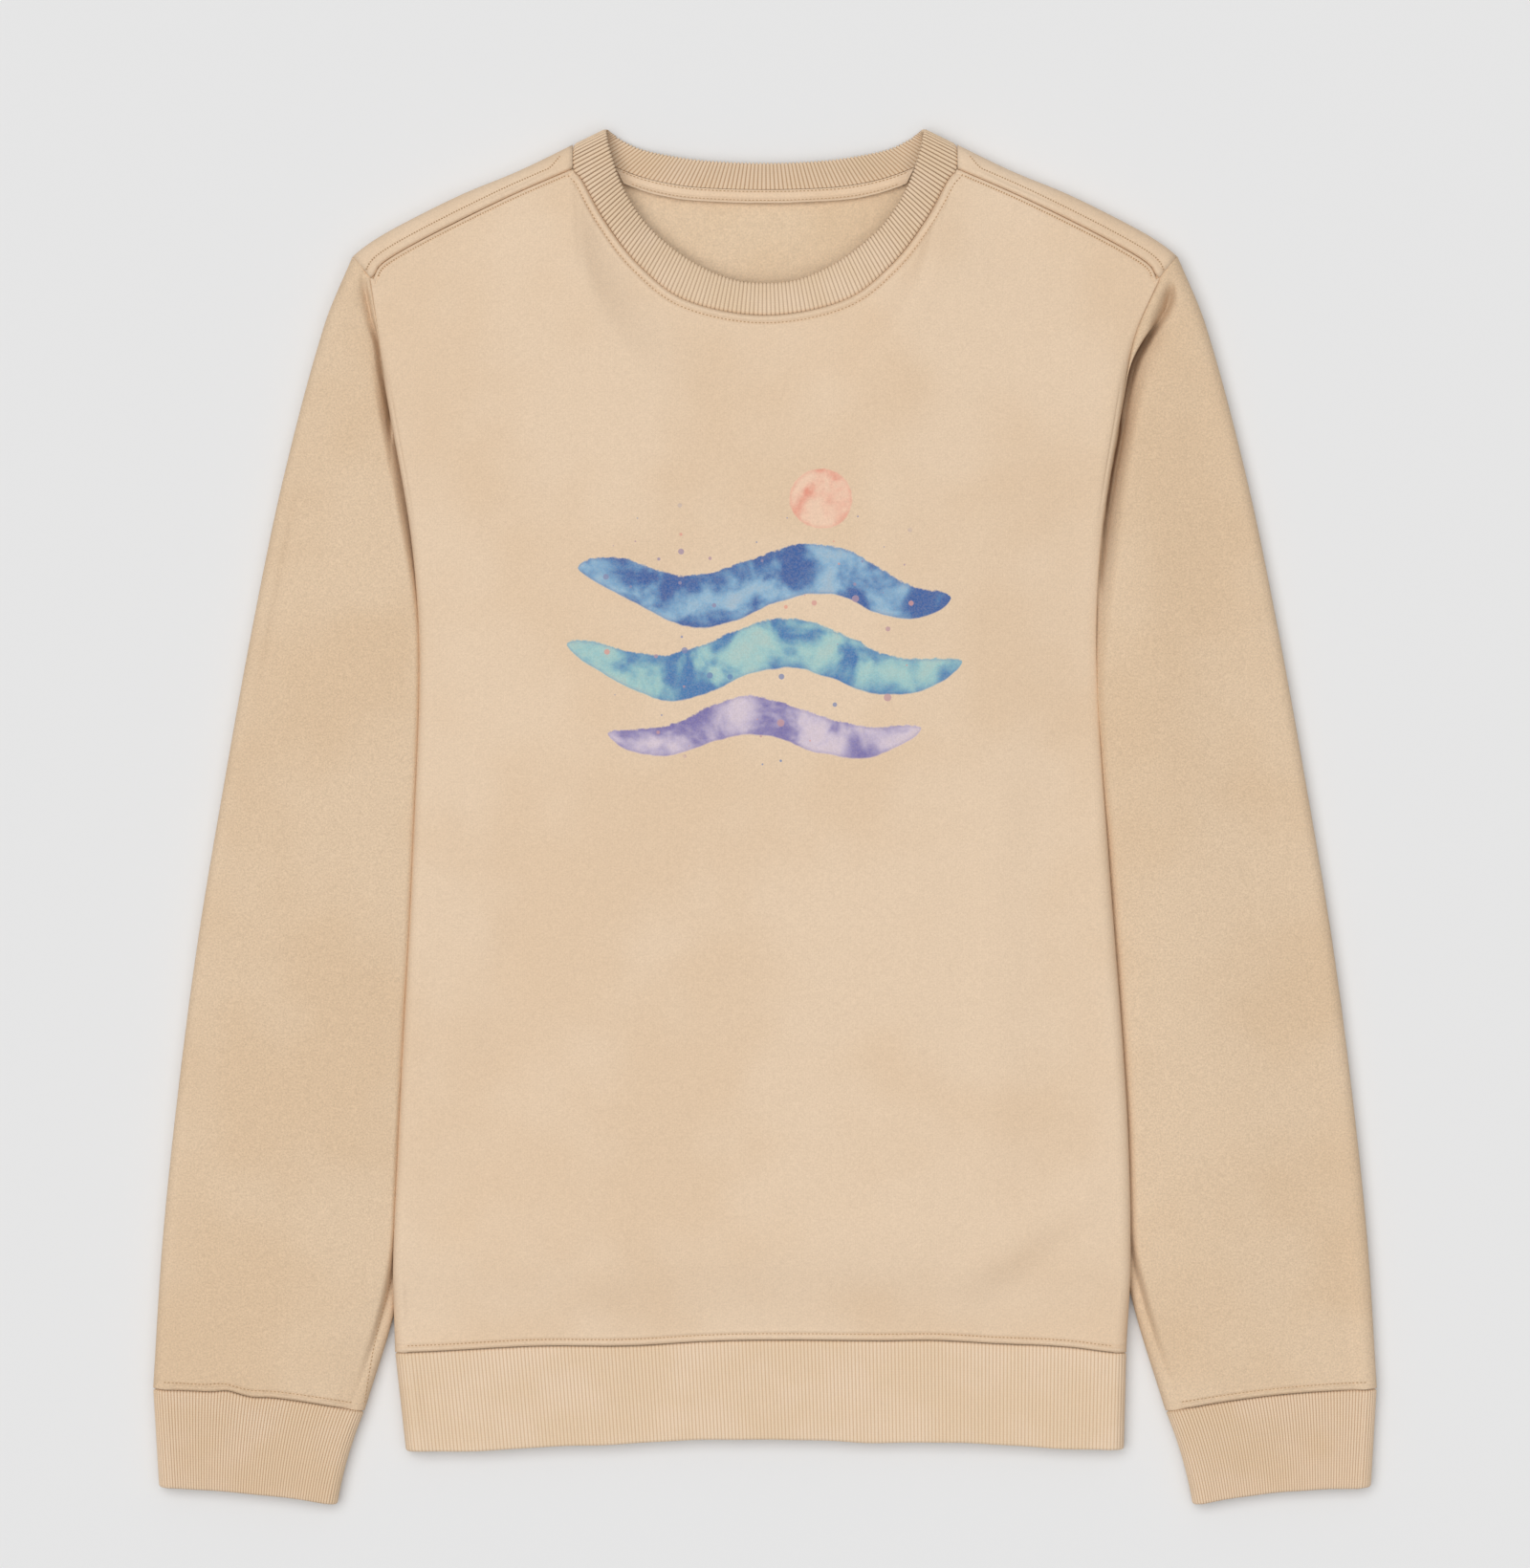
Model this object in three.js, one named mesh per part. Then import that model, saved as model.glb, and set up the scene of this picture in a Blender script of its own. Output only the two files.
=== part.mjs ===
// A crew-neck sweatshirt with long set-in sleeves, laid flat on its back with its front up.
// Millimetres. X runs across, towards the wearer's left, Y from the hem to the neck, and Z up.
// The origin is on the floor, under the middle of the garment.
import * as THREE from 'three';

// Cloth
const CLOTH = 2.4; // brushed fleece
const RIB = 3.2; // rib knit, folded double
const TAPE = 1.4; // herringbone tape inside the back neck
const GAP = 0.4; // clearance between pieces that are sewn together

// Heights above the floor of the outer face, where the cloth lies loosely puffed
const BODY_EDGE_TOP = 23.6;
const BODY_CROWN = 6; // rise from the side folds to the middle of the chest
const CROWN_RUN = 110; // distance over which it rises
const HEM_SEAM_TOP = 15.5;
const SHOULDER_TOP = 17.2;
const NECKLINE_TOP = 19.5;
const SIDE_LIFT = 10.4; // the side folds lie over the inner edges of the sleeves
const HEM_SIDE_LIFT = 0.8; // and come down again where the sleeves part from the body
const SLEEVE_TOP = 21;
const SLEEVE_OUTER_FOLD = 14;
const SLEEVE_TUCKED = 9.5; // the inner edge of a sleeve, flattened under the body
const CUFF_SEAM_TOP = 14.5;
const CUFF_HEIGHT = 13;
const HEM_HEIGHT = 14;
const SHOULDER_FOLD = 2 * 8.6; // the fold along each shoulder
const COLLAR_INNER_TOP = 15.5; // free edge of the collar at the front
const COLLAR_ROLL = 1.2; // how far the front of the collar rounds up between its edges
const COLLAR_BACK_TILT = 6; // how far the free edge stands up at the back

// Body: half its width and its middle line, as [y, x] from the shoulder to the hem
const SHOULDER_END_Y = 289;
const ARMHOLE_Y = 223; // the armhole seam goes out of sight here, under the side fold
const FOLD_Y = 205; // from here down the side is folded right round
const BODY_HALF = [
  [SHOULDER_END_Y, 211.8], [258, 202.8], [ARMHOLE_Y, 197.2], [150, 185.4], [85, 181.9],
  [-22, 186.9], [-156, 195.2], [-240, 198], [-286, 196.6],
];
const BODY_MIDDLE = [
  [SHOULDER_END_Y, 0.5], [258, -4.4], [ARMHOLE_Y, -5.3], [60, -3.5], [-156, -1], [-286, -2.3],
];

// Hem: the seam and the free edge sag by a few millimetres towards the sides
const HEM_SEAM_Y = -281;
const HEM_SEAM_DROP = 5;
const HEM_EDGE_Y = -334.7;
const HEM_EDGE_DROP = 5.3;
const HEM_SEAM_HALF = 196.6;
const HEM_EDGE_HALF = 193;

// Shoulder: the seam on the front, and the fold that makes the outline, from the neck out
const SHOULDER_SEAM = [[103, 348], [138.8, 332.4], [180, 312]];
const SHOULDER_LINE = [[103, 361.4], [132, 347.3], [164, 334], [197, 317.5], [213, 308], [221.8, 301]];

// Neck, from the shoulder to the middle
const NECKLINE = [[103, 348], [98, 341.5], [86, 320], [68, 296.5], [42, 277], [0, 269]];
const NECK_CORNER_RUN = 13.4; // along the collar's seam, from the shoulder fold to the seam
const COLLAR_TIP = [85.5, 370];
const COLLAR_INNER = [[83, 358], [76, 338], [62.5, 317.5], [41.5, 300], [19, 289.3], [0, 287]];
const BACK_NECK = [[91, 355], [78, 348.5], [62, 343], [42, 339.2], [20, 337.8], [0, 337.5]];
const BACK_COLLAR_EDGE = [[76.5, 364], [64, 358.5], [41, 354], [20, 352.2], [0, 351.7]];
const TAPE_EDGE = [[76, 340.3], [60, 335], [40, 331.6], [0, 330]];

// Sleeve: the outer edge from the shoulder point to the cuff, and the inner edge, which is
// tucked under the body and comes out beside the hem, as [y, x]
const SLEEVE_OUTER = [
  [301, 221.8], [264, 237], [182, 259], [100, 276], [17, 291], [-65, 304.7],
  [-147, 315.5], [-229, 324], [-307.2, 329],
];
const SLEEVE_INNER = [
  [ARMHOLE_Y, 196.7], [180, 177], [140, 166.5], [80, 161.5], [-100, 170.5],
  [-180, 181], [-262, 198], [-319.5, 215.4],
];
const ARMHOLE_CORNER = [211.8, 289];

// Cuff: its four corners and how far its inner edge bows in
const CUFF_SEAM_OUTER = [329, -307.2];
const CUFF_SEAM_INNER = [215.4, -319.5];
const CUFF_END_OUTER = [325.8, -360.5];
const CUFF_END_INNER = [230, -370];
const CUFF_BOW = 1.6;

// Underside: how far the front is turned under before it meets the back at the side seam
const TURN_UNDER = 70;
const SIDE_SEAM_TOP = 150;
const RAMP_START = 26; // the turned side comes down to the floor between these distances
const RAMP_END = 60; // from the fold

// Faces
const BODY_ROWS = 20; // rows up the body
const SLEEVE_ROWS = 20; // rows along a sleeve
const NECK_STEPS = 16; // steps round the neck, between the shoulder folds

const fleece = new THREE.MeshStandardMaterial({ color: 0xe2cbaf, roughness: 0.95, metalness: 0 });
const rib = new THREE.MeshStandardMaterial({ color: 0xdcc3a4, roughness: 0.9, metalness: 0 });
const tape = new THREE.MeshStandardMaterial({ color: 0xe4cfb4, roughness: 0.85, metalness: 0 });

const mix = (a, b, t) => a + (b - a) * t;
const clamp01 = (t) => Math.min(1, Math.max(0, t));
const ease = (t) => clamp01(t) ** 2 * (3 - 2 * clamp01(t));
const puff = (t) => Math.sin(clamp01(t) * Math.PI / 2); // rises fast, then levels off
const radians = THREE.MathUtils.degToRad;
const closerAtEnds = (t) => t - 0.08 * Math.sin(2 * Math.PI * t);

// A smooth curve through [y, value] knots, given from the highest y down
function follow(knots, y) {
  const last = knots.length - 1;
  let i = 0;
  while (i < last - 1 && y < knots[i + 1][0]) i += 1;
  const slope = (k) => {
    const a = knots[Math.max(0, k - 1)];
    const b = knots[Math.min(last, k + 1)];
    return (b[1] - a[1]) / (b[0] - a[0]);
  };
  const [y0, x0] = knots[i];
  const [y1, x1] = knots[i + 1];
  const h = y1 - y0;
  const t = clamp01((y - y0) / h);
  return x0 * (1 + 2 * t) * (1 - t) ** 2 + x1 * t * t * (3 - 2 * t)
    + h * slope(i) * t * (1 - t) ** 2 - h * slope(i + 1) * t * t * (1 - t);
}

const spline = (points) => new THREE.SplineCurve(points.map(([x, y]) => new THREE.Vector2(x, y)));
const mirrored = (half) => [
  ...half.map(([x, y]) => [-x, y]),
  ...half.filter(([x]) => x > 0).reverse(),
];

// A closed cloth layer on a grid: place(i, j) gives its outer point and its inner point.
// A ring layer joins its last column to its first.
function layer(columns, rows, place, ring = false) {
  const across = ring ? columns : columns + 1;
  const outer = [];
  const inner = [];
  for (let j = 0; j <= rows; j += 1) {
    for (let i = 0; i < across; i += 1) {
      const [out, back] = place(i, j);
      outer.push(out.x, out.y, out.z);
      inner.push(back.x, back.y, back.z);
    }
  }
  const half = outer.length / 3;
  const at = (i, j) => j * across + (i % across);
  const index = [];
  const quad = (a, b, c, d) => index.push(a, b, c, a, c, d);
  for (let j = 0; j < rows; j += 1) {
    for (let i = 0; i < columns; i += 1) {
      const [a, b, c, d] = [at(i, j), at(i + 1, j), at(i + 1, j + 1), at(i, j + 1)];
      quad(a, b, c, d);
      index.push(half + a, half + c, half + b, half + a, half + d, half + c);
    }
    if (!ring) {
      quad(at(0, j), at(0, j + 1), half + at(0, j + 1), half + at(0, j));
      quad(at(columns, j + 1), at(columns, j), half + at(columns, j), half + at(columns, j + 1));
    }
  }
  for (let i = 0; i < columns; i += 1) {
    quad(at(i + 1, 0), at(i, 0), half + at(i, 0), half + at(i + 1, 0));
    quad(at(i, rows), at(i + 1, rows), half + at(i + 1, rows), half + at(i, rows));
  }
  const geometry = new THREE.BufferGeometry();
  geometry.setAttribute('position', new THREE.Float32BufferAttribute([...outer, ...inner], 3));
  geometry.setIndex(index);
  return facingOut(geometry);
}

// Turns a closed geometry's faces over where its signed volume is negative
function facingOut(geometry) {
  const position = geometry.getAttribute('position');
  const index = geometry.getIndex();
  const [a, b, c] = [new THREE.Vector3(), new THREE.Vector3(), new THREE.Vector3()];
  let volume = 0;
  for (let k = 0; k < index.count; k += 3) {
    a.fromBufferAttribute(position, index.getX(k));
    b.fromBufferAttribute(position, index.getX(k + 1));
    c.fromBufferAttribute(position, index.getX(k + 2));
    volume += a.dot(b.cross(c));
  }
  if (volume < 0) {
    for (let k = 0; k < index.count; k += 3) {
      const second = index.getX(k + 1);
      index.setX(k + 1, index.getX(k + 2));
      index.setX(k + 2, second);
    }
  }
  geometry.computeVertexNormals();
  return geometry;
}

// A point on a round fold, and the point one cloth thickness inside it.
// The fold bends about (x, y, z) with this radius, from straight up at 90 degrees to straight
// down at -90, and sticks out along the plan direction (dx, dy).
function onFold(x, y, z, radius, dx, dy, degrees, thickness) {
  const c = Math.cos(radians(degrees));
  const s = Math.sin(radians(degrees));
  const reach = (r) => new THREE.Vector3(x + dx * r * c, y + dy * r * c, z + r * s);
  return [reach(radius), reach(radius - thickness)];
}

const flatLayer = (x, y, z, thickness) => [
  new THREE.Vector3(x, y, z),
  new THREE.Vector3(x, y, z - thickness),
];

// A flat layer on the floor, cut to an outline
function floorLayer(outline) {
  const shape = new THREE.Shape(outline.map(([x, y]) => new THREE.Vector2(x, y)));
  return new THREE.ExtrudeGeometry(shape, { depth: CLOTH, bevelEnabled: false });
}

const hemSeamY = (x) => HEM_SEAM_Y - HEM_SEAM_DROP * (x / HEM_SEAM_HALF) ** 2;
const hemEdgeY = (x) => HEM_EDGE_Y - HEM_EDGE_DROP * (x / HEM_EDGE_HALF) ** 2;

// The body's side fold at height y up the body
function sideFold(y) {
  const atHem = ease((y - HEM_SEAM_Y) / 55);
  const atShoulder = ease((SHOULDER_END_Y - y) / 60);
  const top = Math.min(
    mix(HEM_SEAM_TOP, BODY_EDGE_TOP, atHem),
    mix(SHOULDER_TOP, BODY_EDGE_TOP, atShoulder),
  );
  const lift = mix(HEM_SIDE_LIFT, SIDE_LIFT, ease((y + 284) / 48));
  const radius = (top - lift) / 2;
  const round = clamp01((SHOULDER_END_Y - y) / (SHOULDER_END_Y - FOLD_Y));
  const end = 60 - 150 * round ** 2.2; // how far round the fold the front panel reaches
  const reach = radius * Math.cos(radians(Math.max(0, end)));
  return {
    top, lift, radius, end,
    centre: follow(BODY_HALF, y) - reach,
    middle: follow(BODY_MIDDLE, y),
    height: lift + radius,
  };
}

// Front panel: the crown of the chest, with both sides rolled over
function frontPanel() {
  const foldSteps = 4;
  const shoulderSteps = 6;
  const mainSteps = NECK_STEPS + 2 * shoulderSteps;
  const corner = sideFold(SHOULDER_END_Y);
  const neckCorner = frontNeck.stations[NECK_STEPS];
  const [, ...outerSeam] = SHOULDER_SEAM;
  const shoulder = spline([
    [neckCorner.seam.x, neckCorner.seam.y], ...outerSeam, [corner.centre, SHOULDER_END_Y],
  ]);

  const topEdge = (u) => {
    const column = Math.round(u * mainSteps) - shoulderSteps;
    if (column >= 0 && column <= NECK_STEPS) {
      const { seam } = frontNeck.stations[column];
      const outward = Math.abs(2 * column / NECK_STEPS - 1);
      return [seam.x, seam.y, mix(NECKLINE_TOP, SHOULDER_TOP, ease(outward))];
    }
    const side = column < 0 ? -1 : 1;
    const outward = (side < 0 ? -column : column - NECK_STEPS) / shoulderSteps;
    const p = shoulder.getPointAt(outward);
    return [side * p.x + corner.middle * outward, p.y, SHOULDER_TOP];
  };
  const sideY = (v) => mix(hemSeamY(HEM_SEAM_HALF) + GAP, SHOULDER_END_Y, v);

  const place = (i, j) => {
    const v = closerAtEnds(j / BODY_ROWS);
    if (i < foldSteps || i > foldSteps + mainSteps) {
      const side = i < foldSteps ? -1 : 1;
      const step = side < 0 ? foldSteps - i : i - foldSteps - mainSteps;
      const y = sideY(v);
      const fold = sideFold(y);
      const angle = mix(90, fold.end, step / foldSteps);
      const x = fold.middle + side * fold.centre;
      return onFold(x, y, fold.height, fold.radius, side, 0, angle, CLOTH);
    }
    const u = (i - foldSteps) / mainSteps;
    const [tx, ty, tz] = topEdge(u);
    const sideHeight = sideY(v);
    const fold = sideFold(sideHeight);
    const hemFold = sideFold(sideY(0));
    const bx = hemFold.middle + hemFold.centre * (2 * u - 1);
    const by = hemSeamY(bx) + GAP;
    const across = 2 * u - 1;
    const cornerX = corner.middle + corner.centre * across;
    const x = mix(bx, tx, v) + fold.middle + fold.centre * across - mix(bx, cornerX, v);
    const y = mix(by, ty, v) + sideHeight - mix(sideY(0), SHOULDER_END_Y, v);
    const fromSide = fold.centre * (1 - Math.abs(across));
    const full = fold.top + BODY_CROWN * ease(fromSide / CROWN_RUN);
    const fromTop = (1 - v) * (ty - by);
    const fromHem = v * (ty - by);
    const z = Math.min(
      mix(mix(tz, fold.top, across ** 8), full, puff(fromTop / 60)),
      mix(HEM_SEAM_TOP, full, puff(fromHem / 45)),
    );
    return flatLayer(x, y, z, CLOTH);
  };
  return layer(mainSteps + 2 * foldSteps, BODY_ROWS, place);
}

// The side of the front that is turned under, down to the side seam on the underside
const seamRun = (d) => mix(ARMHOLE_Y + 1, SIDE_SEAM_TOP, (d - 1.5) / (TURN_UNDER - 1.5));

function sideTurn(side) {
  const columns = 8;
  const place = (i, j) => {
    const depth = (y) => mix(sideFold(y).radius + GAP, TURN_UNDER, i / columns);
    const across = (y) => {
      const fold = sideFold(y);
      return fold.middle + side * (fold.centre + fold.radius - depth(y));
    };
    const top = Math.min(FOLD_Y, seamRun(depth(FOLD_Y)) - GAP);
    const low = hemSeamY(across(HEM_SEAM_Y)) + GAP;
    const y = mix(low, top, closerAtEnds(j / BODY_ROWS));
    const ramp = 1 - ease((depth(y) - RAMP_START) / (RAMP_END - RAMP_START));
    const z = sideFold(y).lift * ramp;
    return [new THREE.Vector3(across(y), y, z), new THREE.Vector3(across(y), y, z + CLOTH)];
  };
  return layer(columns, BODY_ROWS, place);
}

// Neck: the collar's seam and its free edge run side by side from shoulder to shoulder, and
// the pieces that are sewn along the seam share its stations
function neckPath(seamPoints, edgePoints, cornerRun) {
  const seam = spline(mirrored([[SHOULDER_LINE[0][0], SHOULDER_LINE[0][1]], ...seamPoints]));
  const edge = spline(mirrored([COLLAR_TIP, ...edgePoints]));
  const length = seam.getLength();
  const at = (s) => ({ seam: seam.getPointAt(s), edge: edge.getPointAt(s), s });
  const corner = cornerRun / length;
  const stations = [];
  for (let k = 0; k <= NECK_STEPS; k += 1) {
    stations.push(at(mix(corner, 1 - corner, k / NECK_STEPS)));
  }
  return { at, length, stations };
}

const frontNeck = neckPath(NECKLINE, COLLAR_INNER, NECK_CORNER_RUN);
const backNeck = neckPath(BACK_NECK, BACK_COLLAR_EDGE, NECK_CORNER_RUN);

// Shoulder: the back panel comes forward over the fold to the seam on the front
const shoulderFold = spline(SHOULDER_LINE);
const shoulderSeam = spline([...SHOULDER_SEAM, ARMHOLE_CORNER]);

function shoulderSection(s) {
  const seam = shoulderSeam.getPointAt(s);
  const line = shoulderFold.getPointAt(s);
  const out = line.clone().sub(seam).normalize();
  const centre = line.clone().addScaledVector(out, -SHOULDER_FOLD / 2);
  return { seam, out, centre };
}

function shoulderStrip(side) {
  const along = 12;
  const flat = 1;
  const foldSteps = 6;
  const place = (i, j) => {
    const s = mix(GAP / 130, 1 - GAP / 130, i / along);
    const { seam, out, centre } = shoulderSection(s);
    if (j < flat) {
      const start = seam.clone().addScaledVector(out, GAP);
      return flatLayer(side * start.x, start.y, SHOULDER_FOLD, CLOTH);
    }
    const angle = mix(90, -90, (j - flat) / foldSteps);
    const r = SHOULDER_FOLD / 2;
    return onFold(side * centre.x, centre.y, r, r, side * out.x, out.y, angle, CLOTH);
  };
  return layer(along, flat + foldSteps, place);
}

// Sleeve: a tube whose upper layer wraps both edges and whose lower layer lies on the floor
const armholeSeam = (y) => follow([[301, 221.8], ...BODY_HALF], y);

function sleevePlan(v, side) {
  const outerY = mix(301, CUFF_SEAM_OUTER[1] + GAP, v);
  const innerY = mix(ARMHOLE_Y, CUFF_SEAM_INNER[1] + GAP, v);
  const lean = (y) => side * follow(BODY_MIDDLE, y) * ease((y + 262) / 60);
  const outer = new THREE.Vector2(follow(SLEEVE_OUTER, outerY), outerY);
  const inner = new THREE.Vector2(follow(SLEEVE_INNER, innerY) + lean(innerY), innerY);
  const across = outer.clone().sub(inner).normalize();
  const tip = shoulderSection(1).out;
  const out = tip.clone().lerp(across, ease(v / 0.12)).normalize();
  const towardsBody = new THREE.Vector2(-0.95, 0.3);
  const back = towardsBody.lerp(across.clone().negate(), ease(v / 0.2)).normalize();
  const outerRadius = mix(SHOULDER_FOLD, SLEEVE_OUTER_FOLD, ease(v / 0.15)) / 2;
  const loose = ease((v - 0.9) / 0.1);
  const innerRadius = mix(SLEEVE_TUCKED, CUFF_HEIGHT - 1, loose) / 2;
  return { outer, inner, out, back, outerRadius, innerRadius, loose };
}

const sleeveEdges = (plan) => [
  plan.outer.clone().addScaledVector(plan.out, -plan.outerRadius),
  plan.inner.clone().addScaledVector(plan.back, -plan.innerRadius),
];

// The armhole seam from the shoulder point (q = 0) to where it goes under the body (q = 1)
function armholePoint(q, side) {
  const plan = sleevePlan(0, side);
  const [from, to] = sleeveEdges(plan);
  const y = mix(from.y, to.y, q);
  const fold = sideFold(Math.min(y, SHOULDER_END_Y));
  const lean = side * fold.middle * ease((SHOULDER_END_Y - y) / 12);
  const onSeam = y > SHOULDER_END_Y ? armholeSeam(y) : follow(BODY_HALF, y) + lean;
  const x = mix(mix(from.x, onSeam, ease(q / 0.1)), to.x, ease((q - 0.85) / 0.15));
  const z = fold.height + fold.radius * Math.sin(radians(fold.end));
  return { x: x + 2 * GAP, y: y - GAP, z: mix(SHOULDER_FOLD, z, ease(q / 0.15)) };
}

function sleeveTopLayer(side) {
  const foldSteps = 4;
  const mainSteps = 12;
  const place = (i, j) => {
    const v = closerAtEnds(j / SLEEVE_ROWS);
    const plan = sleevePlan(v, side);
    const [from, to] = sleeveEdges(plan);
    if (i < foldSteps) {
      const angle = mix(-90, 90, i / foldSteps);
      const r = plan.outerRadius;
      return onFold(side * from.x, from.y, r, r, side * plan.out.x, plan.out.y, angle, CLOTH);
    }
    if (i > foldSteps + mainSteps) {
      const angle = mix(90, -90, (i - foldSteps - mainSteps) / foldSteps);
      const r = plan.innerRadius;
      return onFold(side * to.x, to.y, r, r, side * plan.back.x, plan.back.y, angle, CLOTH);
    }
    const q = (i - foldSteps) / mainSteps;
    const width = from.distanceTo(to);
    const seam = armholePoint(q, side);
    const start = sleeveEdges(sleevePlan(0, side));
    const near = (1 - v) ** 6;
    const x = mix(from.x, to.x, q) + near * (seam.x - mix(start[0].x, start[1].x, q));
    const y = mix(from.y, to.y, q) + near * (seam.y - mix(start[0].y, start[1].y, q));
    const bodyEdge = follow(BODY_HALF, y) + side * follow(BODY_MIDDLE, y);
    const clear = Math.max(ease((x - bodyEdge + 7) / 45), plan.loose * ease((1 - q) * width / 30));
    const low = 2 * plan.innerRadius;
    const outerRise = mix(2 * plan.outerRadius - low, SLEEVE_TOP - low, ease(q * width / 45));
    const section = low + clear * outerRise;
    const fromCuff = (1 - v) * 620;
    const fromSeam = v * 560;
    const beforeCuff = mix(CUFF_SEAM_TOP, section, puff(fromCuff / 40));
    const settle = mix(40, 14, q ** 4); // the sleeve's head settles to the section's height
    const z = mix(seam.z, Math.min(section, Math.max(low, beforeCuff)), ease(fromSeam / settle));
    const edge = q === 0 ? 2 * plan.outerRadius : z;
    return flatLayer(side * x, y, q === 1 ? low : edge, CLOTH);
  };
  return layer(mainSteps + 2 * foldSteps, SLEEVE_ROWS, place);
}

function sleeveUnderLayer(side) {
  const outline = [];
  for (let k = 0; k <= SLEEVE_ROWS; k += 1) {
    const plan = sleevePlan(closerAtEnds(k / SLEEVE_ROWS), side);
    const [from] = sleeveEdges(plan);
    outline.push([from.x - GAP * plan.out.x, from.y - (k === 0 ? GAP : 0)]);
  }
  for (let k = SLEEVE_ROWS; k >= 0; k -= 1) {
    const plan = sleevePlan(closerAtEnds(k / SLEEVE_ROWS), side);
    const [, to] = sleeveEdges(plan);
    outline.push([to.x - GAP * plan.back.x, to.y - GAP * plan.back.y]);
  }
  const seamSteps = 6;
  for (let k = seamSteps - 1; k > 0; k -= 1) {
    const p = armholePoint(k / seamSteps, side);
    outline.push([p.x, p.y]);
  }
  return floorLayer(outline.map(([x, y]) => [side * x, y]));
}

// Back panel: flat on the floor, from the hem to the shoulders and the back neck
function backPanel() {
  const half = (side) => {
    const points = [];
    const atDepth = (d, y) => {
      const fold = sideFold(y);
      return fold.middle * side + fold.centre + fold.radius - d;
    };
    const cornerX = atDepth(TURN_UNDER, HEM_SEAM_Y);
    const hemSteps = 6;
    for (let k = 0; k < hemSteps; k += 1) {
      const x = cornerX * k / hemSteps;
      points.push([x, hemSeamY(x) + GAP]);
    }
    for (let k = 0; k <= BODY_ROWS; k += 1) {
      const y = mix(hemSeamY(cornerX) + GAP, SIDE_SEAM_TOP, closerAtEnds(k / BODY_ROWS));
      points.push([atDepth(TURN_UNDER + GAP, y), y]);
    }
    points.push([atDepth(4, ARMHOLE_Y), ARMHOLE_Y]);
    for (const q of [0.8, 0.65, 0.5, 0.35, 0.2]) {
      const p = armholePoint(q, side);
      points.push([p.x - 3 * GAP, p.y + GAP]);
    }
    const shoulderSteps = 6;
    for (let k = shoulderSteps; k >= 0; k -= 1) {
      const { centre, out } = shoulderSection(mix(0.004, 0.985, k / shoulderSteps));
      points.push([centre.x - GAP * out.x, centre.y - GAP * out.y]);
    }
    return points;
  };
  const neck = backNeck.stations.map(({ seam }) => [seam.x, seam.y - GAP]).reverse();
  const right = half(-1).slice(1).map(([x, y]) => [-x, y]).reverse();
  return floorLayer([...half(1), ...neck, ...right]);
}

// A flat ribbed tube: edges(t) gives its two side edges in plan, and its height
function ribTube(steps, rows, edges) {
  const foldSteps = 6;
  const around = 2 * (steps + foldSteps);
  const place = (i, j) => {
    const { from, to, bend, radius } = edges(j / rows);
    const dir = to.clone().sub(from).normalize();
    const a = from.clone().addScaledVector(dir, radius);
    const b = to.clone().addScaledVector(dir, -radius);
    const bowed = (q) => {
      const p = a.clone().lerp(b, q);
      return [p.x, p.y + bend * 4 * q * (1 - q)];
    };
    if (i <= steps) {
      const [x, y] = bowed(i / steps);
      return flatLayer(x, y, 2 * radius, RIB);
    }
    if (i < steps + foldSteps) {
      const angle = mix(90, -90, (i - steps) / foldSteps);
      return onFold(b.x, b.y, radius, radius, dir.x, dir.y, angle, RIB);
    }
    if (i <= 2 * steps + foldSteps) {
      const [x, y] = bowed(1 - (i - steps - foldSteps) / steps);
      return [new THREE.Vector3(x, y, 0), new THREE.Vector3(x, y, RIB)];
    }
    const angle = mix(-90, 90, (i - 2 * steps - foldSteps) / foldSteps);
    return onFold(a.x, a.y, radius, radius, -dir.x, -dir.y, angle, RIB);
  };
  return layer(around, rows, place, true);
}

function cuff(side) {
  return ribTube(8, 3, (t) => {
    const from = new THREE.Vector2(...CUFF_SEAM_OUTER).lerp(new THREE.Vector2(...CUFF_END_OUTER), t);
    const to = new THREE.Vector2(...CUFF_SEAM_INNER).lerp(new THREE.Vector2(...CUFF_END_INNER), t);
    to.x += CUFF_BOW * 4 * t * (1 - t);
    from.set(side * from.x, from.y);
    to.set(side * to.x, to.y);
    return { from, to, bend: 0, radius: CUFF_HEIGHT / 2 };
  });
}

function hemBand() {
  return ribTube(20, 3, (t) => {
    const half = mix(HEM_SEAM_HALF, HEM_EDGE_HALF, t);
    const middle = mix(follow(BODY_MIDDLE, HEM_SEAM_Y - HEM_SEAM_DROP), 0, t);
    const y = mix(hemSeamY(half), hemEdgeY(half), t);
    const bend = mix(HEM_SEAM_DROP, HEM_EDGE_DROP, t);
    const from = new THREE.Vector2(middle - half, y);
    const to = new THREE.Vector2(middle + half, y);
    return { from, to, bend, radius: HEM_HEIGHT / 2 };
  });
}

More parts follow.
